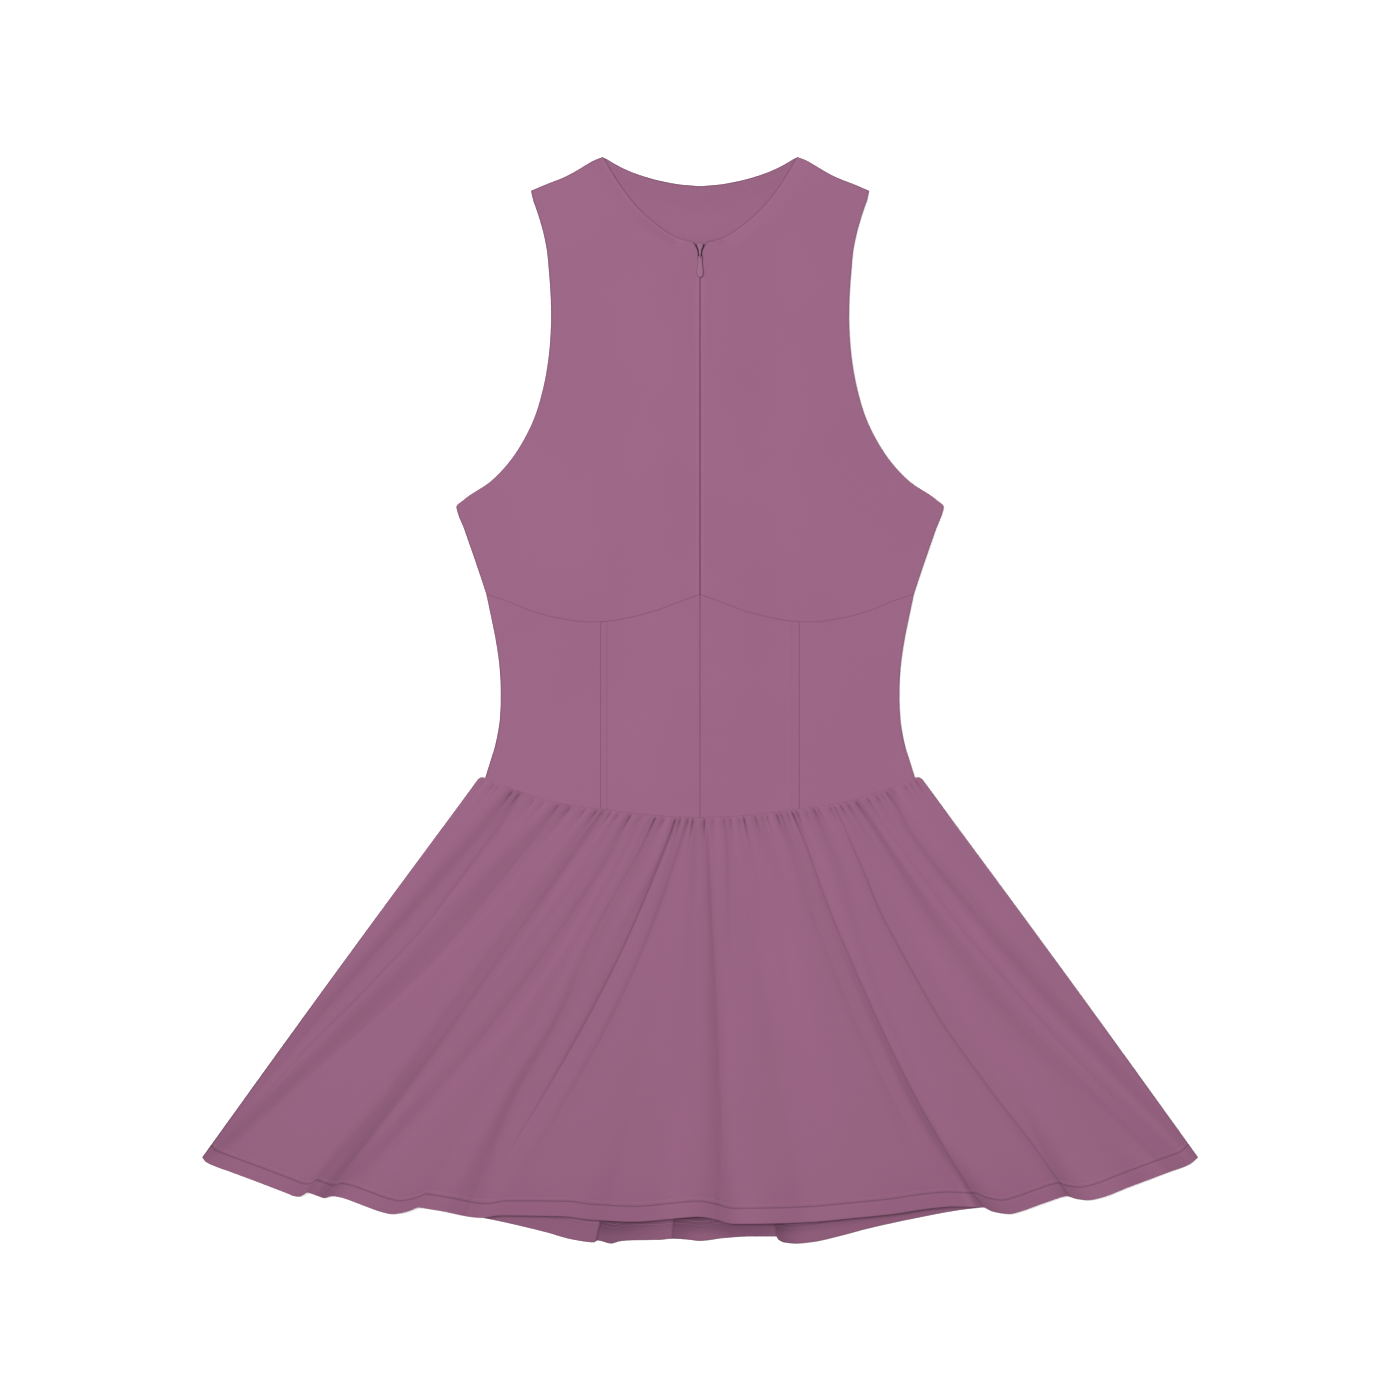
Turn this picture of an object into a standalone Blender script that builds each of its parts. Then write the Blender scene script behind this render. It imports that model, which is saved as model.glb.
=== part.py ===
"""Zip-front dress, laid flat with its front up.

Sizes are millimetres, in a frame with x across the garment, y from hem to neck and z up
from the surface that it lies on. The origin is under the middle of the garment.
"""
import math
from bisect import bisect_right

import bpy
import bmesh

MM = 0.001

# Cloth and seams
SEAM_GAP = 0.3
BACK_WALL = 1.2
FRONT_WALL = 1.3
SKIRT_WALL = 1.4
HEM_TURN_UP = 12.4
HEM_EXTRA = 0.4
HEM_STEP = 0.8
FRONT_REST = BACK_WALL + SEAM_GAP
OVER_PLEATS = 1.0

# Zip
TAPE_WALL = 1.0
TAPE_WIDTH = 12.0
TAPE_TOP = FRONT_REST + TAPE_WALL
OVER_TAPE = TAPE_TOP + SEAM_GAP
ZIP_HEAD = 364.0
ZIP_FOOT = -46.4

# Pull tab, hung on the slider's bridge
PULL_AXIS_Y = 354.6
PULL_AXIS_Z = 5.4
PULL_THICK = 1.0
PULL_ROD = 1.0
EYE_HALF_WIDTH = 0.9
EYE_REACH = 2.6
BRIDGE_WIDTH = 1.2
BRIDGE_INNER = 0.9
BRIDGE_BAR = 0.7
BRIDGE_RISE = 1.1

# How the bodice front lies: level over the zip tape, easing down to the back panel, with
# a slight swell where the bust is cut
ZIP_RIDGE = 22.0
ZIP_SLOPE = 45.0
ZIP_FOOT_SLOPE = 30.0
BUST_X = 82.0
BUST_Y = 165.0
BUST_HALF_WIDTH = 46.0
BUST_HALF_LENGTH = 75.0
BUST_RISE = 1.6

# How the skirt front lies: raised over the back's hem pleats, level out to a half width
PLEAT_HALF_WIDTH = 235.0
PLEAT_SLOPE = 100.0

# Counts
COLUMNS_PER_GATHER = 4
PANEL_STEPS = 5
MIDRIFF_LEVELS = 8
SHOULDER_STEPS = 4
TAPE_LEVELS = 8

# Seam under the bust and seam at the waist: distance from the centre front, height
UNDER_BUST = [
    (0.0, 84.4), (15.6, 78.8), (35.2, 71.5), (55.2, 66.2), (75.2, 62.9),
    (88.0, 62.4), (115.2, 65.9), (137.6, 72.2), (155.2, 79.4), (171.2, 84.8),
]
WAIST = [
    (0.0, -94.0), (22.4, -93.2), (48.8, -91.0), (80.5, -86.8), (115.2, -81.8),
    (137.6, -75.1), (155.2, -69.2), (172.0, -62.2),
]
# Where the waist seam of the skirt turns down outside the bodice
WAIST_CORNER = [(174.6, -61.4), (177.6, -63.0), (179.6, -66.0)]
PRINCESS = 79.4

# Side seam: height, distance from the centre front
SIDE = [
    (-62.2, 172.0), (-48.0, 167.6), (-32.0, 162.8), (-16.0, 160.4), (0.0, 159.6),
    (16.0, 159.6), (32.0, 161.2), (48.0, 163.6), (64.0, 166.8), (84.8, 171.2),
]

# Levels of the back panel between the waist seam and the upper part
BACK_SIDE_LEVELS = (-40.0, -16.0, 8.0, 32.0, 56.0)

# Rows of the upper front from the under-bust seam to the shoulder
# inner x, inner y, outer x, outer y
UPPER_ROWS = [
    (0.0, 84.4, 171.2, 84.8),
    (0.0, 118.0, 177.2, 103.0),
    (0.0, 150.0, 183.4, 121.0),
    (0.0, 182.0, 189.4, 138.0),
    (0.0, 212.0, 194.2, 150.4),
    (0.0, 232.0, 195.0, 154.6),
    (0.0, 250.0, 189.4, 160.0),
    (0.0, 268.0, 166.6, 175.8),
    (0.0, 286.0, 151.6, 192.0),
    (0.0, 302.0, 141.2, 208.0),
    (0.0, 318.0, 133.4, 224.0),
    (0.0, 334.0, 126.0, 248.0),
    (0.0, 346.5, 121.6, 272.0),
    (1.5, 349.5, 119.6, 296.0),
    (2.4, 357.4, 119.6, 320.0),
    (4.2, 365.6, 121.2, 344.0),
    (17.1, 369.3, 122.8, 360.0),
    (33.4, 379.4, 125.4, 373.0),
    (46.0, 390.2, 128.2, 383.2),
    (58.4, 404.4, 131.0, 392.0),
    (68.4, 419.0, 133.8, 400.0),
    (77.6, 434.6, 135.4, 407.4),
]
# Shoulder from the neck point to the tip: x, y
SHOULDER = [
    (77.6, 434.6), (84.4, 432.0), (92.8, 427.2), (100.8, 422.4), (110.4, 417.6),
    (123.2, 412.6), (135.4, 407.4),
]
# Neckline of the back: distance from the centre, height
BACK_NECK = [
    (0.0, 411.2), (16.0, 412.6), (30.4, 415.2), (40.0, 417.6), (54.4, 422.4),
    (64.8, 427.2), (77.6, 434.6),
]

# Hem of the front skirt, left to right: x, y
FRONT_HEM = [
    (-398.4, -365.8), (-395.2, -369.6), (-386.4, -373.6), (-324.0, -397.3),
    (-319.2, -396.6), (-313.6, -393.6), (-298.4, -398.4), (-293.6, -396.6),
    (-286.4, -398.0), (-272.0, -403.0), (-253.6, -409.4), (-246.4, -410.9),
    (-236.8, -409.4), (-226.4, -405.4), (-208.0, -408.0), (-175.2, -413.4),
    (-159.2, -412.0), (-108.0, -412.8), (-89.6, -415.2), (-53.6, -417.1),
    (-22.4, -414.7), (-0.8, -413.1), (12.8, -415.4), (27.2, -418.9),
    (62.4, -418.4), (91.2, -417.1), (120.0, -414.4), (155.2, -410.7),
    (184.0, -406.4), (204.0, -404.8), (227.2, -405.6), (233.6, -408.8),
    (247.2, -410.9), (255.2, -408.8), (269.6, -403.2), (284.0, -397.6),
    (293.6, -396.3), (300.8, -398.7), (309.6, -399.8), (320.8, -397.6),
    (340.8, -389.6), (369.6, -378.4), (391.2, -371.6), (398.4, -365.8),
]
# Hem of the back skirt where it shows below the front, left to right: x, y
BACK_HEM = [
    (-175.2, -413.4), (-151.2, -418.4), (-122.4, -425.6), (-102.4, -431.2),
    (-84.8, -433.6), (-82.4, -432.2), (-71.2, -434.4), (-64.0, -431.8),
    (-22.4, -430.4), (-9.6, -431.2), (-0.8, -432.4), (20.0, -430.0),
    (40.8, -428.8), (61.0, -428.8), (62.4, -431.2), (67.2, -433.6),
    (76.8, -434.4), (91.2, -432.8), (112.8, -428.0), (133.6, -422.4),
    (169.6, -414.4), (208.0, -407.6), (227.2, -405.6),
]
BACK_HEM_TUCK = 3.2

# Flat pleats of the back skirt at the hem: x at the hem, height over the plain wall
BACK_PLEATS = [
    (-398.4, 0.0), (-370.0, 0.0), (-330.0, 0.0), (-290.0, 0.0), (-250.0, 0.0),
    (-210.0, 0.1), (-180.0, 0.3), (-140.0, 0.6), (-102.0, 0.9), (-86.0, 0.9),
    (-81.6, 0.1), (-64.0, 0.3), (-42.0, 0.5), (-24.0, 0.5), (-20.0, 0.1),
    (-9.6, 0.2), (12.0, 0.4), (40.0, 0.4), (60.6, 0.1), (62.4, 0.9),
    (76.0, 0.9), (91.2, 0.8), (120.0, 0.7), (155.0, 0.4), (190.0, 0.2),
    (230.0, 0.0), (270.0, 0.0), (310.0, 0.0), (350.0, 0.0), (380.0, 0.0),
    (398.4, 0.0),
]
BACK_PLEAT_REACH = 70.0
BACK_SKIRT_SHARES = (0.0, 0.15, 0.4, 0.65, 0.84, 0.93, 1.0)
CLOSE_STATIONS = 1.5

# How the skirt fans out: x at the waist, x at the hem
FAN = [
    (-179.6, -398.4), (-171.0, -389.0), (-146.0, -372.0), (-128.0, -352.0),
    (-84.0, -308.0), (-68.0, -280.0), (-57.0, -252.0), (-36.8, -196.0),
    (-20.8, -126.0), (-5.8, -58.0), (4.2, 9.8), (20.8, 60.0), (34.0, 110.0),
    (47.2, 168.0), (79.4, 222.0), (97.6, 292.0), (124.8, 342.0), (148.0, 368.0),
    (166.4, 388.0), (179.6, 398.4),
]
# Folds of the front skirt, left to right. A fold's crease is where the line of the fan that
# it crosses leaves the waist, at five shares of the length. Then come how far the cloth
# rolls over on its left, at waist and hem, how far it recovers on its right, at waist and
# hem, and its depth near the waist, halfway and at the hem
FOLD_SHARES = (0.0, 0.3, 0.5, 0.7, 1.0)
FOLDS = [
    (-144.0, -156.6, -165.3, -172.3, -181.5, 8.0, 14.0, 25.0, 30.0, 0.8, 1.8, 0.0),
    (-140.5, -141.5, -149.5, -163.0, -178.0, 2.5, 4.0, 6.0, 10.0, 0.3, 0.5, 0.2),
    (-108.0, -122.3, -131.0, -142.0, -172.8, 12.0, 24.0, 22.0, 30.0, 0.9, 2.4, 1.2),
    (-73.3, -80.3, -80.5, -76.8, -83.3, 10.0, 34.0, 20.0, 30.0, 0.9, 1.8, 2.8),
    (-50.5, -55.4, -59.2, -63.9, -72.1, 8.0, 14.0, 15.0, 25.0, 0.8, 1.3, 0.4),
    (-33.0, -30.3, -33.8, -37.0, -34.0, 5.0, 16.0, 10.0, 25.0, 0.7, 1.4, 1.6),
    (-18.6, -23.9, -28.8, -33.5, -38.0, 4.0, 8.0, 8.0, 12.0, 1.4, 0.9, 0.0),
    (-11.2, -15.7, -20.9, -29.0, -36.0, 4.0, 8.0, 8.0, 14.0, 0.7, 0.8, 0.1),
    (-14.0, -9.0, -6.0, -5.0, -5.0, 15.0, 30.0, 25.0, 35.0, 0.0, 0.6, 1.9),
    (5.5, 6.7, 7.2, 7.2, 5.5, 8.0, 20.0, 14.0, 30.0, 1.1, 1.6, 2.2),
    (26.0, 27.0, 28.6, 28.6, 28.6, 14.0, 26.0, 20.0, 30.0, 0.3, 0.8, 1.0),
    (62.2, 56.7, 57.0, 59.7, 66.0, 9.0, 14.0, 14.0, 20.0, 0.8, 0.9, 0.2),
    (75.1, 69.6, 69.6, 72.8, 80.8, 10.0, 24.0, 14.0, 25.0, 1.3, 1.9, 2.8),
    (89.5, 94.5, 94.5, 96.0, 99.7, 6.0, 12.0, 14.0, 30.0, 0.8, 1.1, 2.0),
    (128.0, 125.8, 128.5, 136.2, 154.0, 12.0, 18.0, 20.0, 26.0, 0.9, 1.5, 0.9),
    (130.5, 134.7, 142.0, 151.0, 169.0, 4.0, 6.0, 8.0, 10.0, 0.3, 0.4, 0.2),
    (148.6, 154.8, 160.5, 169.0, 181.4, 14.0, 16.0, 20.0, 25.0, 1.0, 1.6, 0.2),
]
ROLL_POWER = 2.2
# Notches between the gathers at the waist seam: x, depth
GATHERS = [
    (-171.3, 0.5), (-163.1, 0.6), (-159.9, 0.4), (-148.7, 1.0), (-142.9, 0.9),
    (-131.0, 0.6), (-123.6, 0.5), (-112.1, 0.9), (-102.4, 0.8), (-90.2, 0.8),
    (-81.0, 0.9), (-76.1, 0.5), (-69.9, 0.7), (-63.9, 0.6), (-54.2, 1.1),
    (-46.0, 0.5), (-34.8, 1.4), (-27.6, 0.7), (-19.1, 1.3), (-14.7, 0.7),
    (-9.0, 0.8), (-5.0, 1.0), (3.5, 1.2), (10.9, 0.5), (18.9, 0.7),
    (24.4, 0.7), (31.1, 0.6), (34.8, 1.1), (43.5, 0.9), (49.5, 0.5),
    (52.7, 0.6), (60.4, 1.1), (64.4, 0.6), (69.1, 0.6), (73.1, 1.4),
    (77.1, 0.7), (83.5, 0.6), (90.2, 0.9), (93.7, 0.5), (102.7, 0.9),
    (106.4, 0.5), (111.4, 0.8), (117.3, 0.8), (123.6, 1.1), (132.5, 0.9),
    (139.7, 0.7), (143.9, 0.5), (147.9, 0.8), (153.4, 0.5), (162.3, 0.7),
    (166.8, 0.5), (171.3, 0.8),
]
# Rows of the front skirt down its folds: share of the length, strength of gathers
SKIRT_ROWS = [
    (0.0, 0.35),
    (0.018, 1.0),
    (0.05, 0.75),
    (0.1, 0.4),
    (0.18, 0.15),
    (0.3, 0.0),
    (0.43, 0.0),
    (0.57, 0.0),
    (0.7, 0.0),
    (0.84, 0.0),
]
GATHER_HEIGHT = 1.2
GATHER_EDGE = 8.0
SKIRT_SWELL = 2.6
RISE_SHARE = 0.22
SIDE_SLOPE = 60.0
OVER_PLEATS_FROM = 0.6
OVER_PLEATS_RISE = 0.25

# Outline of the pull tab below its axis: distance below the axis, half width
PULL_OUTLINE = [
    (-0.5, 1.2), (0.1, 1.85), (3.2, 1.85), (6.0, 2.0), (9.4, 2.45), (12.8, 2.7),
    (15.0, 2.35), (16.2, 1.5), (16.8, 0.5),
]
# Wedge of the slider's body that fills the notch: y, half width
SLIDER_OUTLINE = [(350.4, 1.0), (357.4, 1.9), (364.8, 3.3), (365.4, 2.9)]
SLIDER_LOW = OVER_TAPE
SLIDER_HIGH = 4.3

CLOTH_COLOUR = (0.337, 0.136, 0.238, 1.0)
INSIDE_COLOUR = (0.300, 0.118, 0.210, 1.0)
TAPE_COLOUR = (0.190, 0.075, 0.130, 1.0)
SLIDER_COLOUR = (0.250, 0.100, 0.180, 1.0)


def ease(value):
    """Rises from 0 to 1 with level ends."""
    value = min(1.0, max(0.0, value))
    return value * value * (3.0 - 2.0 * value)


def span_of(table, x):
    """Index of the row before x, and how far x is to the next row."""
    firsts = [row[0] for row in table]
    k = min(max(bisect_right(firsts, x) - 1, 0), len(table) - 2)
    return k, (x - firsts[k]) / (firsts[k + 1] - firsts[k])


def straight_at(table, x, column=1):
    """Value of a table's column at x along straight pieces."""
    k, f = span_of(table, x)
    return table[k][column] + (table[k + 1][column] - table[k][column]) * f


def curve_at(table, x):
    """Value at x on a smooth curve through the table's rows."""
    k, f = span_of(table, x)
    step = table[k + 1][0] - table[k][0]

    def slope(n):
        a = table[max(n - 1, 0)]
        b = table[min(n + 1, len(table) - 1)]
        return (b[1] - a[1]) / (b[0] - a[0])

    f2 = f * f
    f3 = f2 * f
    return (
        (2 * f3 - 3 * f2 + 1) * table[k][1]
        + (f3 - 2 * f2 + f) * step * slope(k)
        + (3 * f2 - 2 * f3) * table[k + 1][1]
        + (f3 - f2) * step * slope(k + 1)
    )


def patch(left, right, bottom, top):
    """Rows of points that fill four edges; left and right run from bottom to top."""
    rows = []
    across = len(bottom) - 1
    up = len(left) - 1
    for j in range(up + 1):
        v = j / up
        row = []
        for i in range(across + 1):
            u = i / across
            point = []
            for c in (0, 1):
                sides = (1 - u) * left[j][c] + u * right[j][c]
                ends = (1 - v) * bottom[i][c] + v * top[i][c]
                low = (1 - u) * bottom[0][c] + u * bottom[across][c]
                high = (1 - u) * top[0][c] + u * top[across][c]
                point.append(sides + ends - (1 - v) * low - v * high)
            row.append(tuple(point))
        rows.append(row)
    return rows


def material(name, colour, roughness):
    made = bpy.data.materials.new(name)
    made.use_nodes = True
    shader = made.node_tree.nodes["Principled BSDF"]
    shader.inputs["Base Color"].default_value = colour
    shader.inputs["Roughness"].default_value = roughness
    made.diffuse_color = colour
    return made


def add_object(name, bm, group, look, origin=(0.0, 0.0, 0.0)):
    """Makes an object from a mesh in millimetres, with its origin at a point."""
    bmesh.ops.recalc_face_normals(bm, faces=bm.faces)
    for vert in bm.verts:
        vert.co = [(vert.co[c] - origin[c]) * MM for c in range(3)]
    mesh = bpy.data.meshes.new(name)
    bm.to_mesh(mesh)
    bm.free()
    made = bpy.data.objects.new(name, mesh)
    made.location = [origin[c] * MM for c in range(3)]
    if look:
        mesh.materials.append(look)
    group.objects.link(made)
    return made


def cloth_panel(name, rows, low, wall, group, look):
    """A wall of cloth over rows of points. low and wall take x, y, column and row."""
    up = len(rows) - 1
    across = len(rows[0]) - 1
    bm = bmesh.new()
    bmesh.ops.create_grid(bm, x_segments=across, y_segments=up, size=1.0)
    lift = bm.verts.layers.float.new("wall")
    for vert in bm.verts:
        i = round((vert.co.x + 1.0) / 2.0 * across)
        j = round((vert.co.y + 1.0) / 2.0 * up)
        x, y = rows[j][i]
        vert[lift] = wall(x, y, i, j)
        vert.co = (x, y, low(x, y, i, j))
    raised = bmesh.ops.extrude_face_region(bm, geom=bm.faces[:])
    for vert in raised["geom"]:
        if isinstance(vert, bmesh.types.BMVert):
            vert.co.z += vert[lift]
    return add_object(name, bm, group, look)


def front_low(x, y):
    """Underside of the bodice front: over the zip tape in the middle, then down to rest."""
    over_zip = (OVER_TAPE - FRONT_REST) * (1.0 - ease((abs(x) - ZIP_RIDGE) / ZIP_SLOPE))
    over_zip *= ease((y - WAIST[0][1]) / ZIP_FOOT_SLOPE)
    across = (abs(x) - BUST_X) / BUST_HALF_WIDTH
    along = (y - BUST_Y) / BUST_HALF_LENGTH
    return FRONT_REST + over_zip + BUST_RISE * math.exp(-(across ** 2) - along ** 2)


def seam_stations(table):
    """Points of a seam that the pieces on both sides of it share, on one half."""
    end = table[-1][0]
    steps = PANEL_STEPS
    centre = [PRINCESS * k / steps for k in range(steps + 1)]
    side = [PRINCESS + (end - PRINCESS) * k / steps for k in range(1, steps + 1)]
    return [(x, curve_at(table, x)) for x in centre + side]


def upper_front(side, group, look):
    half_gap = SEAM_GAP / 2
    bottom = [(x, y + half_gap) for x, y in seam_stations(UNDER_BUST)]
    bottom[0] = (half_gap, bottom[0][1])
    left = [(max(row[0], half_gap), row[1]) for row in UPPER_ROWS]
    left[0] = bottom[0]
    right = [(row[2], row[3]) for row in UPPER_ROWS]
    right[0] = bottom[-1]
    steps = len(bottom) - 1
    first, last = SHOULDER[0], SHOULDER[-1]
    top = []
    for k in range(steps + 1):
        x = first[0] + (last[0] - first[0]) * k / steps
        top.append((x, straight_at(SHOULDER, x)))
    rows = [[(side * x, y) for x, y in row] for row in patch(left, right, bottom, top)]
    name = "front_upper_r" if side < 0 else "front_upper_l"
    cloth_panel(
        name,
        rows,
        lambda x, y, i, j: front_low(x, y),
        lambda x, y, i, j: FRONT_WALL,
        group,
        look,
    )


def midriff_panel(name, side, at_side, group, look):
    """One panel between the under-bust seam and the waist seam."""
    half_gap = SEAM_GAP / 2
    levels = MIDRIFF_LEVELS
    first = PANEL_STEPS if at_side else 0
    chosen = slice(first, first + PANEL_STEPS + 1)
    top = [[x, y - half_gap] for x, y in seam_stations(UNDER_BUST)[chosen]]
    bottom = [[x, y + half_gap] for x, y in seam_stations(WAIST)[chosen]]
    top[0][0] += half_gap
    bottom[0][0] += half_gap
    if not at_side:
        top[-1][0] -= half_gap
        bottom[-1][0] -= half_gap
    left = []
    right = []
    for k in range(levels + 1):
        f = k / levels
        left.append((bottom[0][0], bottom[0][1] + (top[0][1] - bottom[0][1]) * f))
        y = bottom[-1][1] + (top[-1][1] - bottom[-1][1]) * f
        x = curve_at(SIDE, y) if at_side else bottom[-1][0]
        right.append((x, y))
    top[-1] = right[-1]
    bottom[-1] = right[0]
    rows = [[(side * x, y) for x, y in row] for row in patch(left, right, bottom, top)]
    cloth_panel(
        name,
        rows,
        lambda x, y, i, j: front_low(x, y),
        lambda x, y, i, j: FRONT_WALL,
        group,
        look,
    )


def back_bodice(group, look):
    half_gap = SEAM_GAP / 2
    steps = 4 * PANEL_STEPS
    edge = [(curve_at(SIDE, y), y) for y in BACK_SIDE_LEVELS]
    edge += [(row[2], row[3]) for row in UPPER_ROWS]
    right = [(WAIST[-1][0], WAIST[-1][1] + half_gap)] + edge
    left = [(-x, y) for x, y in right]
    waist = [(x, y + half_gap) for x, y in seam_stations(WAIST)]
    bottom = [(-x, y) for x, y in reversed(waist[1:])] + waist
    neck_steps = steps // 2 - SHOULDER_STEPS
    half = []
    for k in range(neck_steps + 1):
        x = BACK_NECK[-1][0] * k / neck_steps
        half.append((x, curve_at(BACK_NECK, x)))
    for k in range(1, SHOULDER_STEPS + 1):
        x = SHOULDER[0][0] + (SHOULDER[-1][0] - SHOULDER[0][0]) * k / SHOULDER_STEPS
        half.append((x, straight_at(SHOULDER, x)))
    top = [(-x, y) for x, y in reversed(half[1:])] + half
    rows = patch(left, right, bottom, top)
    cloth_panel(
        "back_bodice",
        rows,
        lambda x, y, i, j: 0.0,
        lambda x, y, i, j: BACK_WALL,
        group,
        look,
    )


def skirt_columns():
    """Distances from the centre along the waist, four from each gather to the next."""
    reach = FAN[-1][0]
    notches = [-reach] + [row[0] for row in GATHERS] + [reach]
    columns = []
    for first, last in zip(notches, notches[1:]):
        for part in range(COLUMNS_PER_GATHER):
            columns.append(first + (last - first) * part / COLUMNS_PER_GATHER)
    columns.append(reach)
    return columns


def skirt_top_y(x):
    """Height of the skirt's waist edge."""
    line = seam_stations(WAIST) + WAIST_CORNER
    return straight_at(line, abs(x)) - SEAM_GAP / 2


def fan_x(x, share):
    """Where a line of the fan that leaves the waist at x has come to."""
    return x + (straight_at(FAN, x) - x) * share


def fold_depth(x, share):
    """How deep the folds are at a place on the skirt, together."""
    total = 0.0
    for row in FOLDS:
        place = fan_x(straight_at(list(zip(FOLD_SHARES, row[0:5])), share), share)
        roll = row[5] + (row[6] - row[5]) * share
        recover = row[7] + (row[8] - row[7]) * share
        near_waist, halfway, at_hem = row[9:12]
        if share < 0.5:
            depth = near_waist + (halfway - near_waist) * ease(2.0 * share)
        else:
            depth = halfway + (at_hem - halfway) * ease(2.0 * share - 1.0)
        away = x - place
        if away < 0.0:
            total += depth * max(0.0, 1.0 + away / roll) ** ROLL_POWER
        else:
            total += depth * math.exp(-away / recover)
    return total


def front_skirt(group, look):
    columns = skirt_columns()
    depths = [0.0] + [row[1] for row in GATHERS] + [0.0]
    hem_line = len(SKIRT_ROWS)
    last = hem_line + 2
    rows = []
    for j in range(last + 1):
        row = []
        for x in columns:
            start = (x, skirt_top_y(x))
            hem_x = straight_at(FAN, x)
            end = (hem_x, straight_at(FRONT_HEM, hem_x))
            length = math.dist(start, end)
            if j < hem_line:
                share = SKIRT_ROWS[j][0]
            elif j == hem_line:
                share = 1.0 - HEM_TURN_UP / length
            elif j < last:
                share = 1.0 - (HEM_TURN_UP - HEM_STEP) / length
            else:
                share = 1.0
            row.append(
                (start[0] + (end[0] - start[0]) * share, start[1] + (end[1] - start[1]) * share)
            )
        rows.append(row)

    def low(x, y, i, j):
        share, gather = SKIRT_ROWS[j] if j < hem_line else (1.0, 0.0)
        reach = 1.0 - ease((abs(x) - PLEAT_HALF_WIDTH) / PLEAT_SLOPE)
        over_back = OVER_PLEATS * reach * ease((share - OVER_PLEATS_FROM) / OVER_PLEATS_RISE)
        k, part = divmod(i, COLUMNS_PER_GATHER)
        f = part / COLUMNS_PER_GATHER
        depth = depths[k] + (depths[min(k + 1, len(depths) - 1)] - depths[k]) * f
        wave = 0.5 - 0.5 * math.cos(2.0 * math.pi * f)
        gathers = GATHER_HEIGHT * gather * depth * wave
        gathers *= ease((columns[-1] - abs(columns[i])) / GATHER_EDGE)
        from_side = fan_x(columns[-1], share) - abs(fan_x(columns[i], share))
        swell = SKIRT_SWELL * ease(share / RISE_SHARE) * ease(from_side / SIDE_SLOPE)
        folded = math.exp(-fold_depth(fan_x(columns[i], share), share) / SKIRT_SWELL)
        return FRONT_REST + over_back + gathers + swell * folded

    def wall(x, y, i, j):
        return SKIRT_WALL + (HEM_EXTRA if j > hem_line else 0.0)

    rows.reverse()
    cloth_panel(
        "skirt_front",
        rows,
        lambda x, y, i, j: low(x, y, i, last - j),
        lambda x, y, i, j: wall(x, y, i, last - j),
        group,
        look,
    )


def back_hem_y(x):
    if BACK_HEM[0][0] < x < BACK_HEM[-1][0]:
        return straight_at(BACK_HEM, x)
    return straight_at(FRONT_HEM, x) + BACK_HEM_TUCK


def back_skirt(group, look):
    to_waist = [(row[1], row[0]) for row in FAN]
    stations = [straight_at(FAN, x) for x, y in seam_stations(WAIST)]
    stations += [straight_at(FAN, -x) for x, y in seam_stations(WAIST)[1:]]
    for x in [row[0] for row in BACK_PLEATS] + [row[0] for row in BACK_HEM]:
        if min(abs(x - other) for other in stations) > CLOSE_STATIONS:
            stations.append(x)
    stations.sort()
    rows = []
    for share in BACK_SKIRT_SHARES:
        row = []
        for hem_x in stations:
            top_x = straight_at(to_waist, hem_x)
            start = (top_x, skirt_top_y(top_x))
            end = (hem_x, back_hem_y(hem_x))
            row.append(
                (start[0] + (end[0] - start[0]) * share, start[1] + (end[1] - start[1]) * share)
            )
        rows.append(row)
    rows.reverse()

    def wall(x, y, i, j):
        above_hem = y - back_hem_y(stations[i])
        fade = 1.0 - ease(above_hem / BACK_PLEAT_REACH)
        return BACK_WALL + fade * straight_at(BACK_PLEATS, stations[i])

    cloth_panel("skirt_back", rows, lambda x, y, i, j: 0.0, wall, group, look)


def zip_tape(side, group, look):
    rows = []
    for k in range(TAPE_LEVELS + 1):
        y = ZIP_FOOT + (ZIP_HEAD - ZIP_FOOT) * k / TAPE_LEVELS
        rows.append([(side * x, y) for x in (SEAM_GAP / 2, TAPE_WIDTH / 2, TAPE_WIDTH)])
    name = "zip_tape_r" if side < 0 else "zip_tape_l"
    cloth_panel(
        name,
        rows,
        lambda x, y, i, j: FRONT_REST,
        lambda x, y, i, j: TAPE_WALL,
        group,
        look,
    )


def box(bm, low, high):
    """A box between two corners."""
    made = bmesh.ops.create_cube(bm, size=1.0)["verts"]
    for vert in made:
        vert.co = [low[c] + (high[c] - low[c]) * (vert.co[c] + 0.5) for c in range(3)]


def plate(outline, low, high):
    """A plate with the same outline on both sides of x = 0. outline: y, half width."""
    bm = bmesh.new()
    ring = [(half, y) for y, half in outline] + [(-half, y) for y, half in reversed(outline)]
    disc = bmesh.ops.create_circle(bm, cap_ends=True, segments=len(ring), radius=1.0)["verts"]
    for vert, (x, y) in zip(disc, ring):
        vert.co = (x, y, low)
    top = bmesh.ops.extrude_face_region(bm, geom=bm.faces[:])
    for vert in top["geom"]:
        if isinstance(vert, bmesh.types.BMVert):
            vert.co.z = high
    return bm


def boolean(made, cutter, operation):
    step = made.modifiers.new(operation.lower(), "BOOLEAN")
    step.object = cutter
    step.operation = operation
    step.solver = "EXACT"


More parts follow.
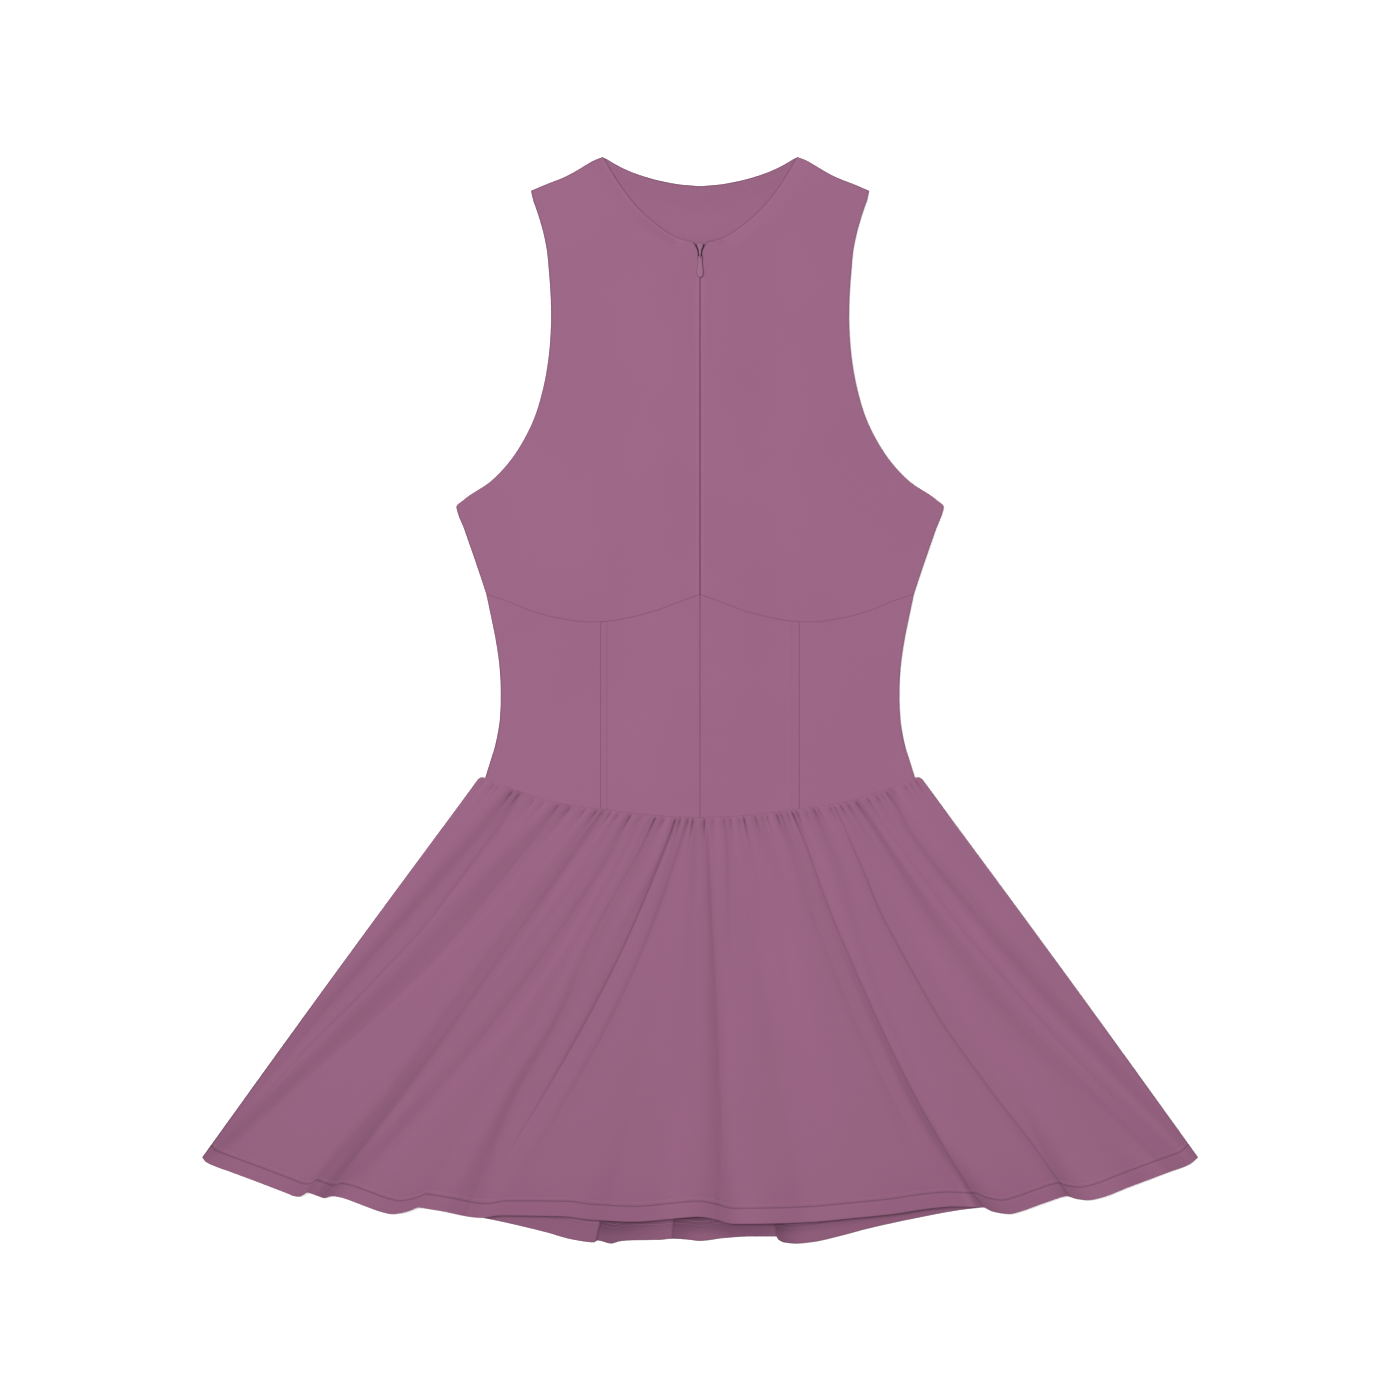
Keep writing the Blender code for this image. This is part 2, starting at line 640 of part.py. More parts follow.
def zip_slider(group, cutters, look):
    slider = add_object(
        "zip_slider", plate(SLIDER_OUTLINE, SLIDER_LOW, SLIDER_HIGH), group, look
    )
    reach = BRIDGE_INNER + BRIDGE_BAR
    top = PULL_AXIS_Z + BRIDGE_RISE
    arch = bmesh.new()
    box(
        arch,
        (-BRIDGE_WIDTH / 2, PULL_AXIS_Y - reach, SLIDER_HIGH - 0.5),
        (BRIDGE_WIDTH / 2, PULL_AXIS_Y + reach, top + BRIDGE_BAR),
    )
    arch = add_object("cutter_bridge", arch, cutters, None)
    window = bmesh.new()
    box(
        window,
        (-BRIDGE_WIDTH, PULL_AXIS_Y - BRIDGE_INNER, SLIDER_HIGH),
        (BRIDGE_WIDTH, PULL_AXIS_Y + BRIDGE_INNER, top),
    )
    window = add_object("cutter_window", window, cutters, None)
    boolean(slider, arch, "UNION")
    boolean(slider, window, "DIFFERENCE")


def zip_pull(group, cutters, look):
    outline = [(PULL_AXIS_Y - down, half) for down, half in PULL_OUTLINE]
    low = PULL_AXIS_Z - PULL_THICK / 2
    pull = add_object(
        "zip_pull",
        plate(outline, low, low + PULL_THICK),
        group,
        look,
        origin=(0.0, PULL_AXIS_Y, PULL_AXIS_Z),
    )
    eye = bmesh.new()
    box(
        eye,
        (-EYE_HALF_WIDTH, PULL_AXIS_Y - EYE_REACH, low - 1.0),
        (EYE_HALF_WIDTH, PULL_AXIS_Y - PULL_ROD / 2, low + PULL_THICK + 1.0),
    )
    eye = add_object("cutter_eye", eye, cutters, None)
    boolean(pull, eye, "DIFFERENCE")


def main():
    for old in list(bpy.data.objects):
        bpy.data.objects.remove(old, do_unlink=True)
    dress = bpy.data.collections.new("zip_front_dress")
    cutters = bpy.data.collections.new("cutters")
    bpy.context.scene.collection.children.link(dress)
    bpy.context.scene.collection.children.link(cutters)

    cloth = material("jersey", CLOTH_COLOUR, 0.85)
    inside = material("jersey_back", INSIDE_COLOUR, 0.85)
    tape = material("zip_tape", TAPE_COLOUR, 0.8)
    painted = material("painted_zip_metal", SLIDER_COLOUR, 0.45)

    for side, tag in ((-1, "r"), (1, "l")):
        upper_front(side, dress, cloth)
        midriff_panel(f"front_midriff_centre_{tag}", side, False, dress, cloth)
        midriff_panel(f"front_midriff_side_{tag}", side, True, dress, cloth)
        zip_tape(side, dress, tape)
    front_skirt(dress, cloth)
    back_bodice(dress, inside)
    back_skirt(dress, inside)
    zip_slider(dress, cutters, painted)
    zip_pull(dress, cutters, painted)

    for cutter in cutters.objects:
        cutter.hide_render = True
        cutter.display_type = "WIRE"


main()
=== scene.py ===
import math

import bmesh
import bpy
import numpy as np
from mathutils import Matrix, Vector


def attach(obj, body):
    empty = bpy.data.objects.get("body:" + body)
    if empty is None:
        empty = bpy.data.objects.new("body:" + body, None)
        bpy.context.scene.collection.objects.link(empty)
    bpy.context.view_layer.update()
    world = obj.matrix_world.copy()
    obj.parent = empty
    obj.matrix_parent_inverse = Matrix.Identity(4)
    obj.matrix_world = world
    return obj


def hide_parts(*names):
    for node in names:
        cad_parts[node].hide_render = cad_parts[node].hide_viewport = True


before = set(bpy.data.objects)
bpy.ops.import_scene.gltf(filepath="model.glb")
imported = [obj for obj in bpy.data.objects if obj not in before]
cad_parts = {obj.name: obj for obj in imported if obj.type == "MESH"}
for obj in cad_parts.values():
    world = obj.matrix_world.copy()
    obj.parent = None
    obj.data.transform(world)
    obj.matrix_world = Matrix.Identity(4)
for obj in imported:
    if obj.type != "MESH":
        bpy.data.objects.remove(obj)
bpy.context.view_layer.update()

# Everything below is worked out in millimetres: x across the dress, y from hem to neck and
# z up from the surface that it lies on
mm = 0.001


# Curves and grids

def ease(value):
    value = np.clip(value, 0.0, 1.0)
    return value * value * (3.0 - 2.0 * value)


def bell(away, reach):
    return np.exp(-((away / reach) ** 2))


def between(first, last, share):
    return first + (last - first) * share


def steadyCurve(table, corners=()):
    # a smooth curve through rows of x and y that never overshoots a row, sharp at the corners
    x = np.array([row[0] for row in table], float)
    y = np.array([row[1] for row in table], float)
    steps = np.diff(x)
    rises = np.diff(y) / steps
    slopes = np.zeros_like(x)
    slopes[0], slopes[-1] = rises[0], rises[-1]
    before, after = rises[:-1], rises[1:]
    same = before * after > 0
    slopes[1:-1][same] = 2.0 * before[same] * after[same] / (before + after)[same]
    arrive, leave = slopes.copy(), slopes.copy()
    for spot in corners:
        k = int(np.argmin(np.abs(x - spot)))
        arrive[k], leave[k] = rises[k - 1], rises[k]

    def at(value):
        value = np.clip(value, x[0], x[-1])
        k = np.clip(np.searchsorted(x, value, side="right") - 1, 0, len(x) - 2)
        step = steps[k]
        f = (value - x[k]) / step
        return (
            (2 * f ** 3 - 3 * f ** 2 + 1) * y[k]
            + (f ** 3 - 2 * f ** 2 + f) * step * leave[k]
            + (3 * f ** 2 - 2 * f ** 3) * y[k + 1]
            + (f ** 3 - f ** 2) * step * arrive[k + 1]
        )

    return at


def pathThrough(points, corners=()):
    # a smooth path through the points, read from 0 to 1, sharp at the corners
    spots = np.array(points, float)
    count = len(spots)
    steps = np.diff(spots, axis=0)
    lengths = np.linalg.norm(steps, axis=1)
    arrive = np.zeros_like(spots)
    leave = np.zeros_like(spots)
    for k in range(count):
        back = steps[max(k - 1, 0)]
        ahead = steps[min(k, count - 2)]
        if k in corners or k in (0, count - 1):
            arrive[k], leave[k] = back, ahead
            continue
        a, b = lengths[k - 1], lengths[k]
        heading = (back / a * b + ahead / b * a) / (a + b)
        arrive[k], leave[k] = heading * a, heading * b

    def at(share):
        t = np.clip(np.asarray(share, float), 0.0, 1.0) * (count - 1)
        k = np.minimum(t.astype(int), count - 2)
        f = (t - k)[..., None]
        return (
            (2 * f ** 3 - 3 * f ** 2 + 1) * spots[k]
            + (f ** 3 - 2 * f ** 2 + f) * leave[k]
            + (3 * f ** 2 - 2 * f ** 3) * spots[k + 1]
            + (f ** 3 - f ** 2) * arrive[k + 1]
        )

    return at


def fillEdges(left, right, bottom, top, u, v):
    # points of a surface that fills four edge paths, one row for each v
    u, v = np.meshgrid(u, v)
    uu, vv = u[..., None], v[..., None]
    corners = between(
        between(bottom(0.0), bottom(1.0), uu), between(top(0.0), top(1.0), uu), vv,
    )
    return between(left(v), right(v), uu) + between(bottom(u), top(u), vv) - corners


rimInsets = (0.0, 0.08, 0.25, 0.6, 1.4, 2.6)      # mm from an edge, where it rounds over


def sharesWithRims(count, length, atEnd=True):
    # shares from 0 to 1 with close lines at each rim of a piece that is length mm long
    rims = np.array(rimInsets) / length
    middle = np.linspace(rims[-1], 1.0 - rims[-1] if atEnd else 1.0, count)
    return np.concatenate([rims[:-1], middle, (1.0 - rims[:-1])[::-1] if atEnd else []])


# How an edge is finished: reach of its rounding in mm, how blunt it stays, how much painted
# shade it gets, a painted highlight below nothing, and how far that spreads in mm
openEdge = (0.5, 0.5, 0.3, 1.7)
litEdge = (0.4, 0.65, 0.5, 1.7)
seamEdge = (0.3, 0.8, 0.16, 0.7)
waistEdge = (0.3, 0.9, -0.1, 0.8)
neckEdge = (0.6, 0.4, 0.5, 0.7)
shadedNeckEdge = (0.6, 0.4, 0.8, 0.8)
backNeckEdge = (0.4, 0.6, 0.5, 2.0)
princessEdge = (0.3, 0.75, 0.24, 0.5)
centreEdge = (0.3, 0.75, 0.55, 0.36)
hemEdge = (0.5, 0.5, 0.06, 1.0)
plainShade = 0.12      # painted shade of flat cloth, which painted highlights on ridges go below
grainScale = 0.01      # UV units for each mm of cloth


def roundRims(xy, low, high, bottom=openEdge, top=openEdge, inner=openEdge, outer=openEdge):
    # thins the wall to a round edge on all four sides, and paints shade along the edges
    factor = np.ones_like(low)
    shade = np.zeros_like(low)
    for axis, flip, finish in ((0, False, bottom), (0, True, top), (1, False, inner),
                               (1, True, outer)):
        reach, blunt, dark, spread = finish
        place = np.flip(xy, axis) if flip else xy
        border = place[:1] if axis == 0 else place[:, :1]
        away = np.linalg.norm(place - border, axis=2)
        share = np.clip(away / reach, 0.0, 1.0)
        shape = blunt + (1.0 - blunt) * np.sqrt(1.0 - (1.0 - share) ** 2)
        # painted shade along this edge; a dark below nothing paints a highlight instead
        edge = dark * (1.0 - ease(away / spread))
        if flip:
            shape, edge = np.flip(shape, axis), np.flip(edge, axis)
        factor = np.minimum(factor, shape)
        shade = shade + edge
    middle = (low + high) / 2
    half = (high - low) / 2 * factor
    return middle - half, middle + half, shade


def meshFrom(bm, name):
    mesh = bpy.data.meshes.new(name)
    bm.to_mesh(mesh)
    bm.free()
    mesh.shade_smooth()
    return mesh


def addPiece(name, mesh, look, body="dress"):
    piece = bpy.data.objects.new(name, mesh)
    bpy.context.scene.collection.objects.link(piece)
    mesh.materials.clear()
    mesh.materials.append(look)
    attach(piece, body)
    return piece


def clothShell(name, node, xy, low, high, shade, grain, look):
    # a thin closed shell over a grid of points; grain is where each point was in the flat cloth
    if xy[0, -1, 0] < xy[0, 0, 0]:
        xy, low, high, shade, grain = [part[:, ::-1] for part in (xy, low, high, shade, grain)]
    rows, columns = low.shape
    bm = bmesh.new()
    bmesh.ops.create_grid(bm, x_segments=columns - 1, y_segments=rows - 1, size=1.0)
    spot = bm.verts.layers.int.new("spot")
    upper = bm.verts.layers.int.new("upper")
    for vert in bm.verts:
        i = round((vert.co.x + 1.0) / 2.0 * (columns - 1))
        j = round((vert.co.y + 1.0) / 2.0 * (rows - 1))
        vert[spot] = j * columns + i
    made = bmesh.ops.extrude_face_region(bm, geom=bm.faces[:])
    for vert in made["geom"]:
        if isinstance(vert, bmesh.types.BMVert):
            vert.co.z = 1.0
            vert[upper] = 1
    bmesh.ops.recalc_face_normals(bm, faces=bm.faces)
    mesh = meshFrom(bm, name)

    count = len(mesh.vertices)
    spots = np.zeros(count, dtype=np.int32)
    uppers = np.zeros(count, dtype=np.int32)
    mesh.attributes["spot"].data.foreach_get("value", spots)
    mesh.attributes["upper"].data.foreach_get("value", uppers)
    places = np.zeros((count, 3))
    places[:, :2] = xy.reshape(-1, 2)[spots]
    places[:, 2] = np.where(uppers == 1, high.reshape(-1)[spots], low.reshape(-1)[spots])
    mesh.vertices.foreach_set("co", (places * mm).reshape(-1))

    corners = np.zeros(len(mesh.loops), dtype=np.int32)
    mesh.loops.foreach_get("vertex_index", corners)
    layer = mesh.uv_layers.new(name="grain")
    layer.data.foreach_set("uv", grain.reshape(-1, 2)[spots[corners]].reshape(-1) * grainScale)
    # the painted shade of each point, which the material darkens its colour by
    darkness = mesh.attributes.new("shade", "FLOAT", "POINT")
    darkness.data.foreach_set("value", np.clip(shade + plainShade, 0.0, 1.0).reshape(-1)[spots])
    mesh.attributes.remove(mesh.attributes["spot"])
    mesh.attributes.remove(mesh.attributes["upper"])
    mesh.update()
    piece = addPiece(name, mesh, look)
    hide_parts(node)
    return piece


# Materials

class Value:
    # a number socket that takes part in sums
    def __init__(self, shader, socket):
        self.shader = shader
        self.socket = socket

    def join(self, operation, other=None, first=None):
        values = [item for item in (first, self, other) if item is not None]
        made = self.shader.add("ShaderNodeMath", {"operation": operation}, dict(enumerate(values)))
        return Value(self.shader, made.outputs[0])

    def __add__(self, other):
        return self.join("ADD", other)

    def __sub__(self, other):
        return self.join("SUBTRACT", other)

    def __rsub__(self, other):
        return self.join("SUBTRACT", None, other)

    def __mul__(self, other):
        return self.join("MULTIPLY", other)

    __radd__ = __add__
    __rmul__ = __mul__

    def sine(self):
        return self.join("SINE")

    def size(self):
        return self.join("ABSOLUTE")


class Shader:
    def __init__(self, name):
        self.material = bpy.data.materials.new(name)
        self.material.use_nodes = True
        self.tree = self.material.node_tree
        self.surface = self.tree.nodes["Principled BSDF"]

    def put(self, node, key, value):
        if isinstance(value, Value):
            value = value.socket
        if isinstance(value, bpy.types.NodeSocket):
            self.tree.links.new(value, node.inputs[key])
        else:
            node.inputs[key].default_value = value

    def add(self, kind, settings=None, values=None):
        node = self.tree.nodes.new(kind)
        for key, value in (settings or {}).items():
            setattr(node, key, value)
        for key, value in (values or {}).items():
            self.put(node, key, value)
        return node

    def finish(self, values):
        for key, value in values.items():
            self.put(self.surface, key, value)
        return self.material

    def blend(self, factor, first, second):
        mix = self.add("ShaderNodeMix", {"data_type": "RGBA"})
        self.put(mix, 0, factor)
        self.put(mix, 6, first)
        self.put(mix, 7, second)
        return mix.outputs[2]


def toned(colour, part):
    return [channel * part for channel in colour[:3]] + [1.0]


def noise(shader, place, scale, detail, roughness=0.5):
    values = {"Vector": place, "Scale": scale, "Detail": detail, "Roughness": roughness}
    return Value(shader, shader.add("ShaderNodeTexNoise", None, values).outputs[0])


def bumped(shader, height, strength, reach):
    # reach in mm
    values = {"Strength": strength, "Distance": reach * mm, "Height": height}
    return shader.add("ShaderNodeBump", None, values).outputs[0]


def objectPlace(shader):
    return shader.add("ShaderNodeTexCoord").outputs["Object"]


def painted(shader):
    # the painted shade of each point of a piece
    return shader.add("ShaderNodeAttribute", {"attribute_name": "shade"}).outputs["Fac"]


def jersey(name, colour):
    # fine knit: rows of little chevrons with painted shade in their valleys, a soft nap, very
    # slow changes of dye, and the painted shade of each point
    shader = Shader(name)
    grain = shader.add("ShaderNodeUVMap", {"uv_map": "grain"}).outputs[0]
    parts = shader.add("ShaderNodeSeparateXYZ", None, {0: grain}).outputs
    across = Value(shader, parts[0]) * (1.0 / grainScale / knit["walePitch"])
    along = Value(shader, parts[1]) * (1.0 / grainScale / knit["coursePitch"])
    wale = (across * math.pi).sine().size()
    loops = ((along + wale * 0.55) * (2.0 * math.pi)).sine() * 0.5 + 0.5
    relief = wale * 0.65 + loops * 0.35
    nap = noise(shader, grain, knit["napScale"], 3.0, 0.6)
    dye = noise(shader, grain, knit["dyeScale"], 2.0)
    dyed = shader.blend((dye - 0.35) * 1.6, colour, toned(colour, knit["dyeDepth"]))
    # painted shade in the valleys between the knit's loops
    knitted = shader.blend((1.0 - relief) * 0.22, dyed, toned(colour, 0.9))
    # the colour where painted shade is full
    fullShadeColour = [channel * part for channel, part in zip(colour, knit["inShade"])] + [1.0]
    return shader.finish({
        "Base Color": shader.blend(painted(shader), knitted, fullShadeColour),
        "Roughness": 0.78 + nap * 0.14,
        "Specular IOR Level": 0.28,
        "Sheen Weight": knit["sheen"],
        "Sheen Roughness": 0.45,
        "Sheen Tint": (0.95, 0.80, 0.90, 1.0),
        "Normal": bumped(
            shader, relief * 0.6 + nap * 0.6, knit["bumpStrength"], knit["bumpHeight"],
        ),
    })


def threadMaterial(name, colour):
    # twisted sewing thread
    shader = Shader(name)
    fibres = noise(shader, objectPlace(shader), 3800.0, 2.0)
    return shader.finish({
        "Base Color": shader.blend(fibres, toned(colour, 0.8), colour),
        "Roughness": 0.5 + fibres * 0.2,
        "Sheen Weight": 0.15,
        "Normal": bumped(shader, fibres, 0.3, 0.05),
    })


def tapeMaterial(name, colour):
    # woven zip tape with a fine twill
    shader = Shader(name)
    parts = shader.add("ShaderNodeSeparateXYZ", None, {0: objectPlace(shader)}).outputs
    x = Value(shader, parts[0]) * (1.0 / mm)
    y = Value(shader, parts[1]) * (1.0 / mm)
    twill = ((x + y) * (2.0 * math.pi / 0.7)).sine() * 0.5 + 0.5
    rib = (x * (2.0 * math.pi / 0.5)).sine() * 0.5 + 0.5
    weave = twill * 0.6 + rib * 0.4
    return shader.finish({
        "Base Color": shader.blend(weave, toned(colour, 0.7), colour),
        "Roughness": 0.8 - weave * 0.1,
        "Sheen Weight": 0.1,
        "Normal": bumped(shader, weave, 0.4, 0.1),
    })


def paintedMetal(name, colour):
    # lacquered zinc in the cloth's colour, with faint casting texture, rubbed spots and painted
    # shade on its rims
    shader = Shader(name)
    place = objectPlace(shader)
    pits = noise(shader, place, 900.0, 3.0)
    rubs = noise(shader, place, 260.0, 1.0)
    face = shader.blend(rubs, colour, toned(colour, 1.12))
    return shader.finish({
        "Base Color": shader.blend(painted(shader), face, toned(colour, 0.25)),
        "Roughness": 0.6 + pits * 0.12,
        "Specular IOR Level": 0.3,
        "Normal": bumped(shader, pits, 0.15, 0.05),
    })


def floorMaterial():
    # matt white paper with a faint tooth
    shader = Shader("white_paper")
    tooth = noise(shader, objectPlace(shader), 60.0, 4.0)
    return shader.finish({
        "Base Color": shader.blend(tooth, (0.97, 0.97, 0.97, 1.0), (0.98, 0.98, 0.98, 1.0)),
        "Roughness": 0.9,
        "Specular IOR Level": 0.1,
        "Emission Color": (1.0, 1.0, 1.0, 1.0),
        "Emission Strength": 0.3,
    })


knit = {
    "walePitch": 0.62,         # mm between wales
    "coursePitch": 0.5,        # mm between courses
    "napScale": 90.0,
    "dyeScale": 1.1,
    "dyeDepth": 0.955,         # darkest part of the dye
    "inShade": (0.36, 0.30, 0.36),      # red, green and blue kept where painted shade is full
    "bumpStrength": 0.22,
    "bumpHeight": 0.12,        # mm
    "sheen": 0.12,
}
clothColour = (0.250, 0.0955, 0.177, 1.0)
insideColour = (0.2455, 0.0930, 0.1733, 1.0)
# the zip tape, near black as painted shade for the gaps where it shows
tapeColour = (0.018, 0.004, 0.013, 1.0)
metalColour = (0.222, 0.083, 0.155, 1.0)
# the sewing thread, made lighter than the cloth as painted highlight, so its stitches look as if
# they catch the light
highlightedThreadColour = (0.400, 0.175, 0.300, 1.0)
# a copy of the thread with painted shade, for the hem's lower stitch row
shadedThreadColour = (0.170, 0.060, 0.118, 1.0)

clothLook = jersey("jersey", clothColour)
insideLook = jersey("jersey_back", insideColour)
highlightedThreadLook = threadMaterial("thread", highlightedThreadColour)
shadedThreadLook = threadMaterial("thread_in_shade", shadedThreadColour)
tapeLook = tapeMaterial("zip_tape", tapeColour)
metalLook = paintedMetal("painted_zip_metal", metalColour)
print("materials made")


# Camera, lights and floor

view = {"width": 1.12, "lens": 200.0, "sensor": 36.0}      # width of the floor in the frame, m
keyLight = {"from": (-5.2, 2.4, 8.6), "size": 5.6, "energy": 850.0}
topLight = {"height": 7.0, "size": 7.0, "energy": 330.0}
worldStrength = 0.26

camera = bpy.data.cameras.new("camera")
camera.lens = view["lens"]
camera.sensor_width = view["sensor"]
camera.clip_start = 0.1
camera.clip_end = 100.0
cameraObject = bpy.data.objects.new("camera", camera)
cameraObject.location = (0.0, 0.0, view["width"] * view["lens"] / view["sensor"])
bpy.context.scene.collection.objects.link(cameraObject)
bpy.context.scene.camera = cameraObject


def areaLight(name, place, size, energy):
    light = bpy.data.lights.new(name, "AREA")
    light.shape = "DISK"
    light.size = size
    light.energy = energy
    lamp = bpy.data.objects.new(name, light)
    lamp.location = place
    lamp.rotation_euler = (-Vector(place)).to_track_quat("-Z", "Y").to_euler()
    bpy.context.scene.collection.objects.link(lamp)


areaLight("key", keyLight["from"], keyLight["size"], keyLight["energy"])
areaLight("top", (0.0, 0.0, topLight["height"]), topLight["size"], topLight["energy"])

world = bpy.data.worlds.new("studio")
world.use_nodes = True
world.node_tree.nodes["Background"].inputs[0].default_value = (1.0, 1.0, 1.0, 1.0)
world.node_tree.nodes["Background"].inputs[1].default_value = worldStrength
bpy.context.scene.world = world
bpy.context.scene.view_settings.view_transform = "Standard"

floorDrop = 0.2      # mm below the cloth
bm = bmesh.new()
bmesh.ops.create_grid(
    bm, x_segments=1, y_segments=1, size=15.0, matrix=Matrix.Translation((0, 0, -floorDrop * mm)),
)
floorMesh = meshFrom(bm, "floor")
floorMesh.materials.append(floorMaterial())
floor = bpy.data.objects.new("floor", floorMesh)
bpy.context.scene.collection.objects.link(floor)
print("camera, lights and floor set")


# Shared sizes and lines of the dress

sideTags = ((-1, "R"), (1, "L"))
walls = {
    "back": 1.2, "front": 1.3, "skirt": 1.4, "tape": 1.0,
    "zipGap": 0.16, "seamGap": 0.06,      # between neighbours
    "rest": 1.5,               # underside of the front over the back
    "overTape": 2.8,           # underside of the front over the zip tape
}
princess = 79.4        # distance of the princess seams from the centre
waistHalf = 179.6      # half widths of the skirt
hemHalf = 398.4
zipSizes = {
    "head": 364.0, "foot": -46.4, "tapeWidth": 12.0,
    "axisY": 354.6, "axisZ": 5.4,      # where the pull turns
}
# Lines of the pattern, each (x, y) but for the side, which is (y, x)
waistPoints = [
    (0, -94), (22.4, -93.2), (48.8, -91), (80.5, -86.8), (115.2, -81.8),
    (137.6, -75.1), (155.2, -69.2), (172, -62.2),
]
waistCorner = [(174.6, -61.4), (177.6, -63.0), (179.6, -66.0)]
underBustPoints = [
    (0, 84.4), (15.6, 78.8), (35.2, 71.5), (55.2, 66.2), (75.2, 62.9),
    (88, 62.4), (115.2, 65.9), (137.6, 72.2), (155.2, 79.4), (171.2, 84.8),
]
sidePoints = [
    (-62.2, 172), (-48, 167.6), (-32, 162.8), (-16, 160.4), (0, 159.6),
    (16, 159.6), (32, 161.2), (48, 163.6), (64, 166.8), (84.8, 171.2),
]
innerPoints = [
    (0, 84.4), (0, 118), (0, 150), (0, 182), (0, 212), (0, 232),
    (0, 250), (0, 268), (0, 286), (0, 302), (0, 318), (0, 334),
    (0, 348.5), (1.2, 351.5), (2, 359.4), (5.3, 366.1), (17.1, 369.3), (33.4, 379.4),
    (46, 390.2), (58.4, 404.4), (68.4, 419), (77.6, 434.6),
]
zipTop, neckStart = 12, 15      # points where the zip's opening and the neck edge begin
outerPoints = [
    (171.2, 84.8), (177.2, 103), (183.4, 121), (189.4, 138), (194.2, 150.4),
    (195, 154.6), (189.4, 160), (166.6, 175.8), (151.6, 192), (141.2, 208),
    (133.4, 224), (126, 248), (121.6, 272), (119.6, 296), (119.6, 320),
    (121.2, 344), (122.8, 360), (125.4, 373), (128.2, 383.2), (131, 392),
    (133.8, 400), (135.4, 407.4),
]
shoulderPoints = [
    (77.6, 434.6), (84.4, 432), (92.8, 427.2), (100.8, 422.4), (110.4, 417.6),
    (123.2, 412.6), (135.4, 407.4),
]
backNeckPoints = [
    (0, 411.2), (16, 412.6), (30.4, 415.2), (40, 417.6), (54.4, 422.4),
    (64.8, 427.2), (77.6, 434.6),
]
waistLine = steadyCurve(waistPoints)
skirtWaistLine = steadyCurve(waistPoints + waistCorner)
underBustLine = steadyCurve(underBustPoints)
sideLine = steadyCurve(sidePoints)
shoulderLine = steadyCurve(shoulderPoints)
backNeckLine = steadyCurve(backNeckPoints)


def along(line, first, last, lift=0.0):
    # the stretch of a line between two places across the dress, read from 0 to 1
    def at(share):
        x = between(first, last, np.asarray(share, float))
        return np.stack([x, line(np.abs(x)) + lift], axis=-1)

    return at


# Bodice front

bodice = {
    "zipRidge": 22.0, "zipSlope": 45.0, "zipFootSlope": 30.0,
    "bustX": 82.0, "bustY": 165.0, "bustHalfWidth": 46.0, "bustHalfLength": 75.0,
    "bustRise": 1.6,
    "upperGrid": (56, 150), "midriffGrid": (30, 60),      # columns and rows
    "upperWidth": 150.0, "upperLength": 357.0, "midriffLength": 155.0,
    "zipPucker": 0.10,         # ripples of the cloth beside the zip
    "allowance": 5.3,          # width of the pressed seam allowance
    "allowanceRise": 0.20, "stitchDip": 0.16,
    "neckPress": 16.0, "neckThin": 0.6, "neckSink": 0.2,
    "paleAway": 1.9, "paleWidth": 0.9,      # painted highlight strips beside the centre line
    # painted shade along the midriff's topstitching, for the right and the left
    "stitchShades": {"R": 0.14, "L": 0.24},
}


besideSeam = np.array([-1.6, -0.8, -0.35, 0.0, 0.35, 0.8, 1.6])
slowWaves = [
    (0.10, 31, 47, 0.6), (0.08, 23, -38, 2.1), (0.05, 13, 19, 1.2),
]      # height, reach across and along, start


def frontLow(x, y):
    # underside of the bodice front: over the zip tape, then easing down to the back
    overZip = 1.0 - ease((np.abs(x) - bodice["zipRidge"]) / bodice["zipSlope"])
    overZip = overZip * ease((y - waistPoints[0][1]) / bodice["zipFootSlope"])
    bust = bell(np.abs(x) - bodice["bustX"], bodice["bustHalfWidth"])
    bust = bust * bell(y - bodice["bustY"], bodice["bustHalfLength"])
    return between(walls["rest"], walls["overTape"], overZip) + bodice["bustRise"] * bust


def frontTop(x, y):
    # the cloth never lies quite flat, and it puckers beside the zip
    total = frontLow(x, y) + walls["front"]
    for height, across, upward, start in slowWaves:
        total = total + height * np.sin(x / across + y / upward + start)
    ripple = np.sin(y / 2.9 + 1.6 * np.sin(y / 17.0)) * np.sin(y / 43.0 + np.sign(x) * 0.7)
    return total + bodice["zipPucker"] * ripple * bell(np.abs(x) - 2.5, 4.0)


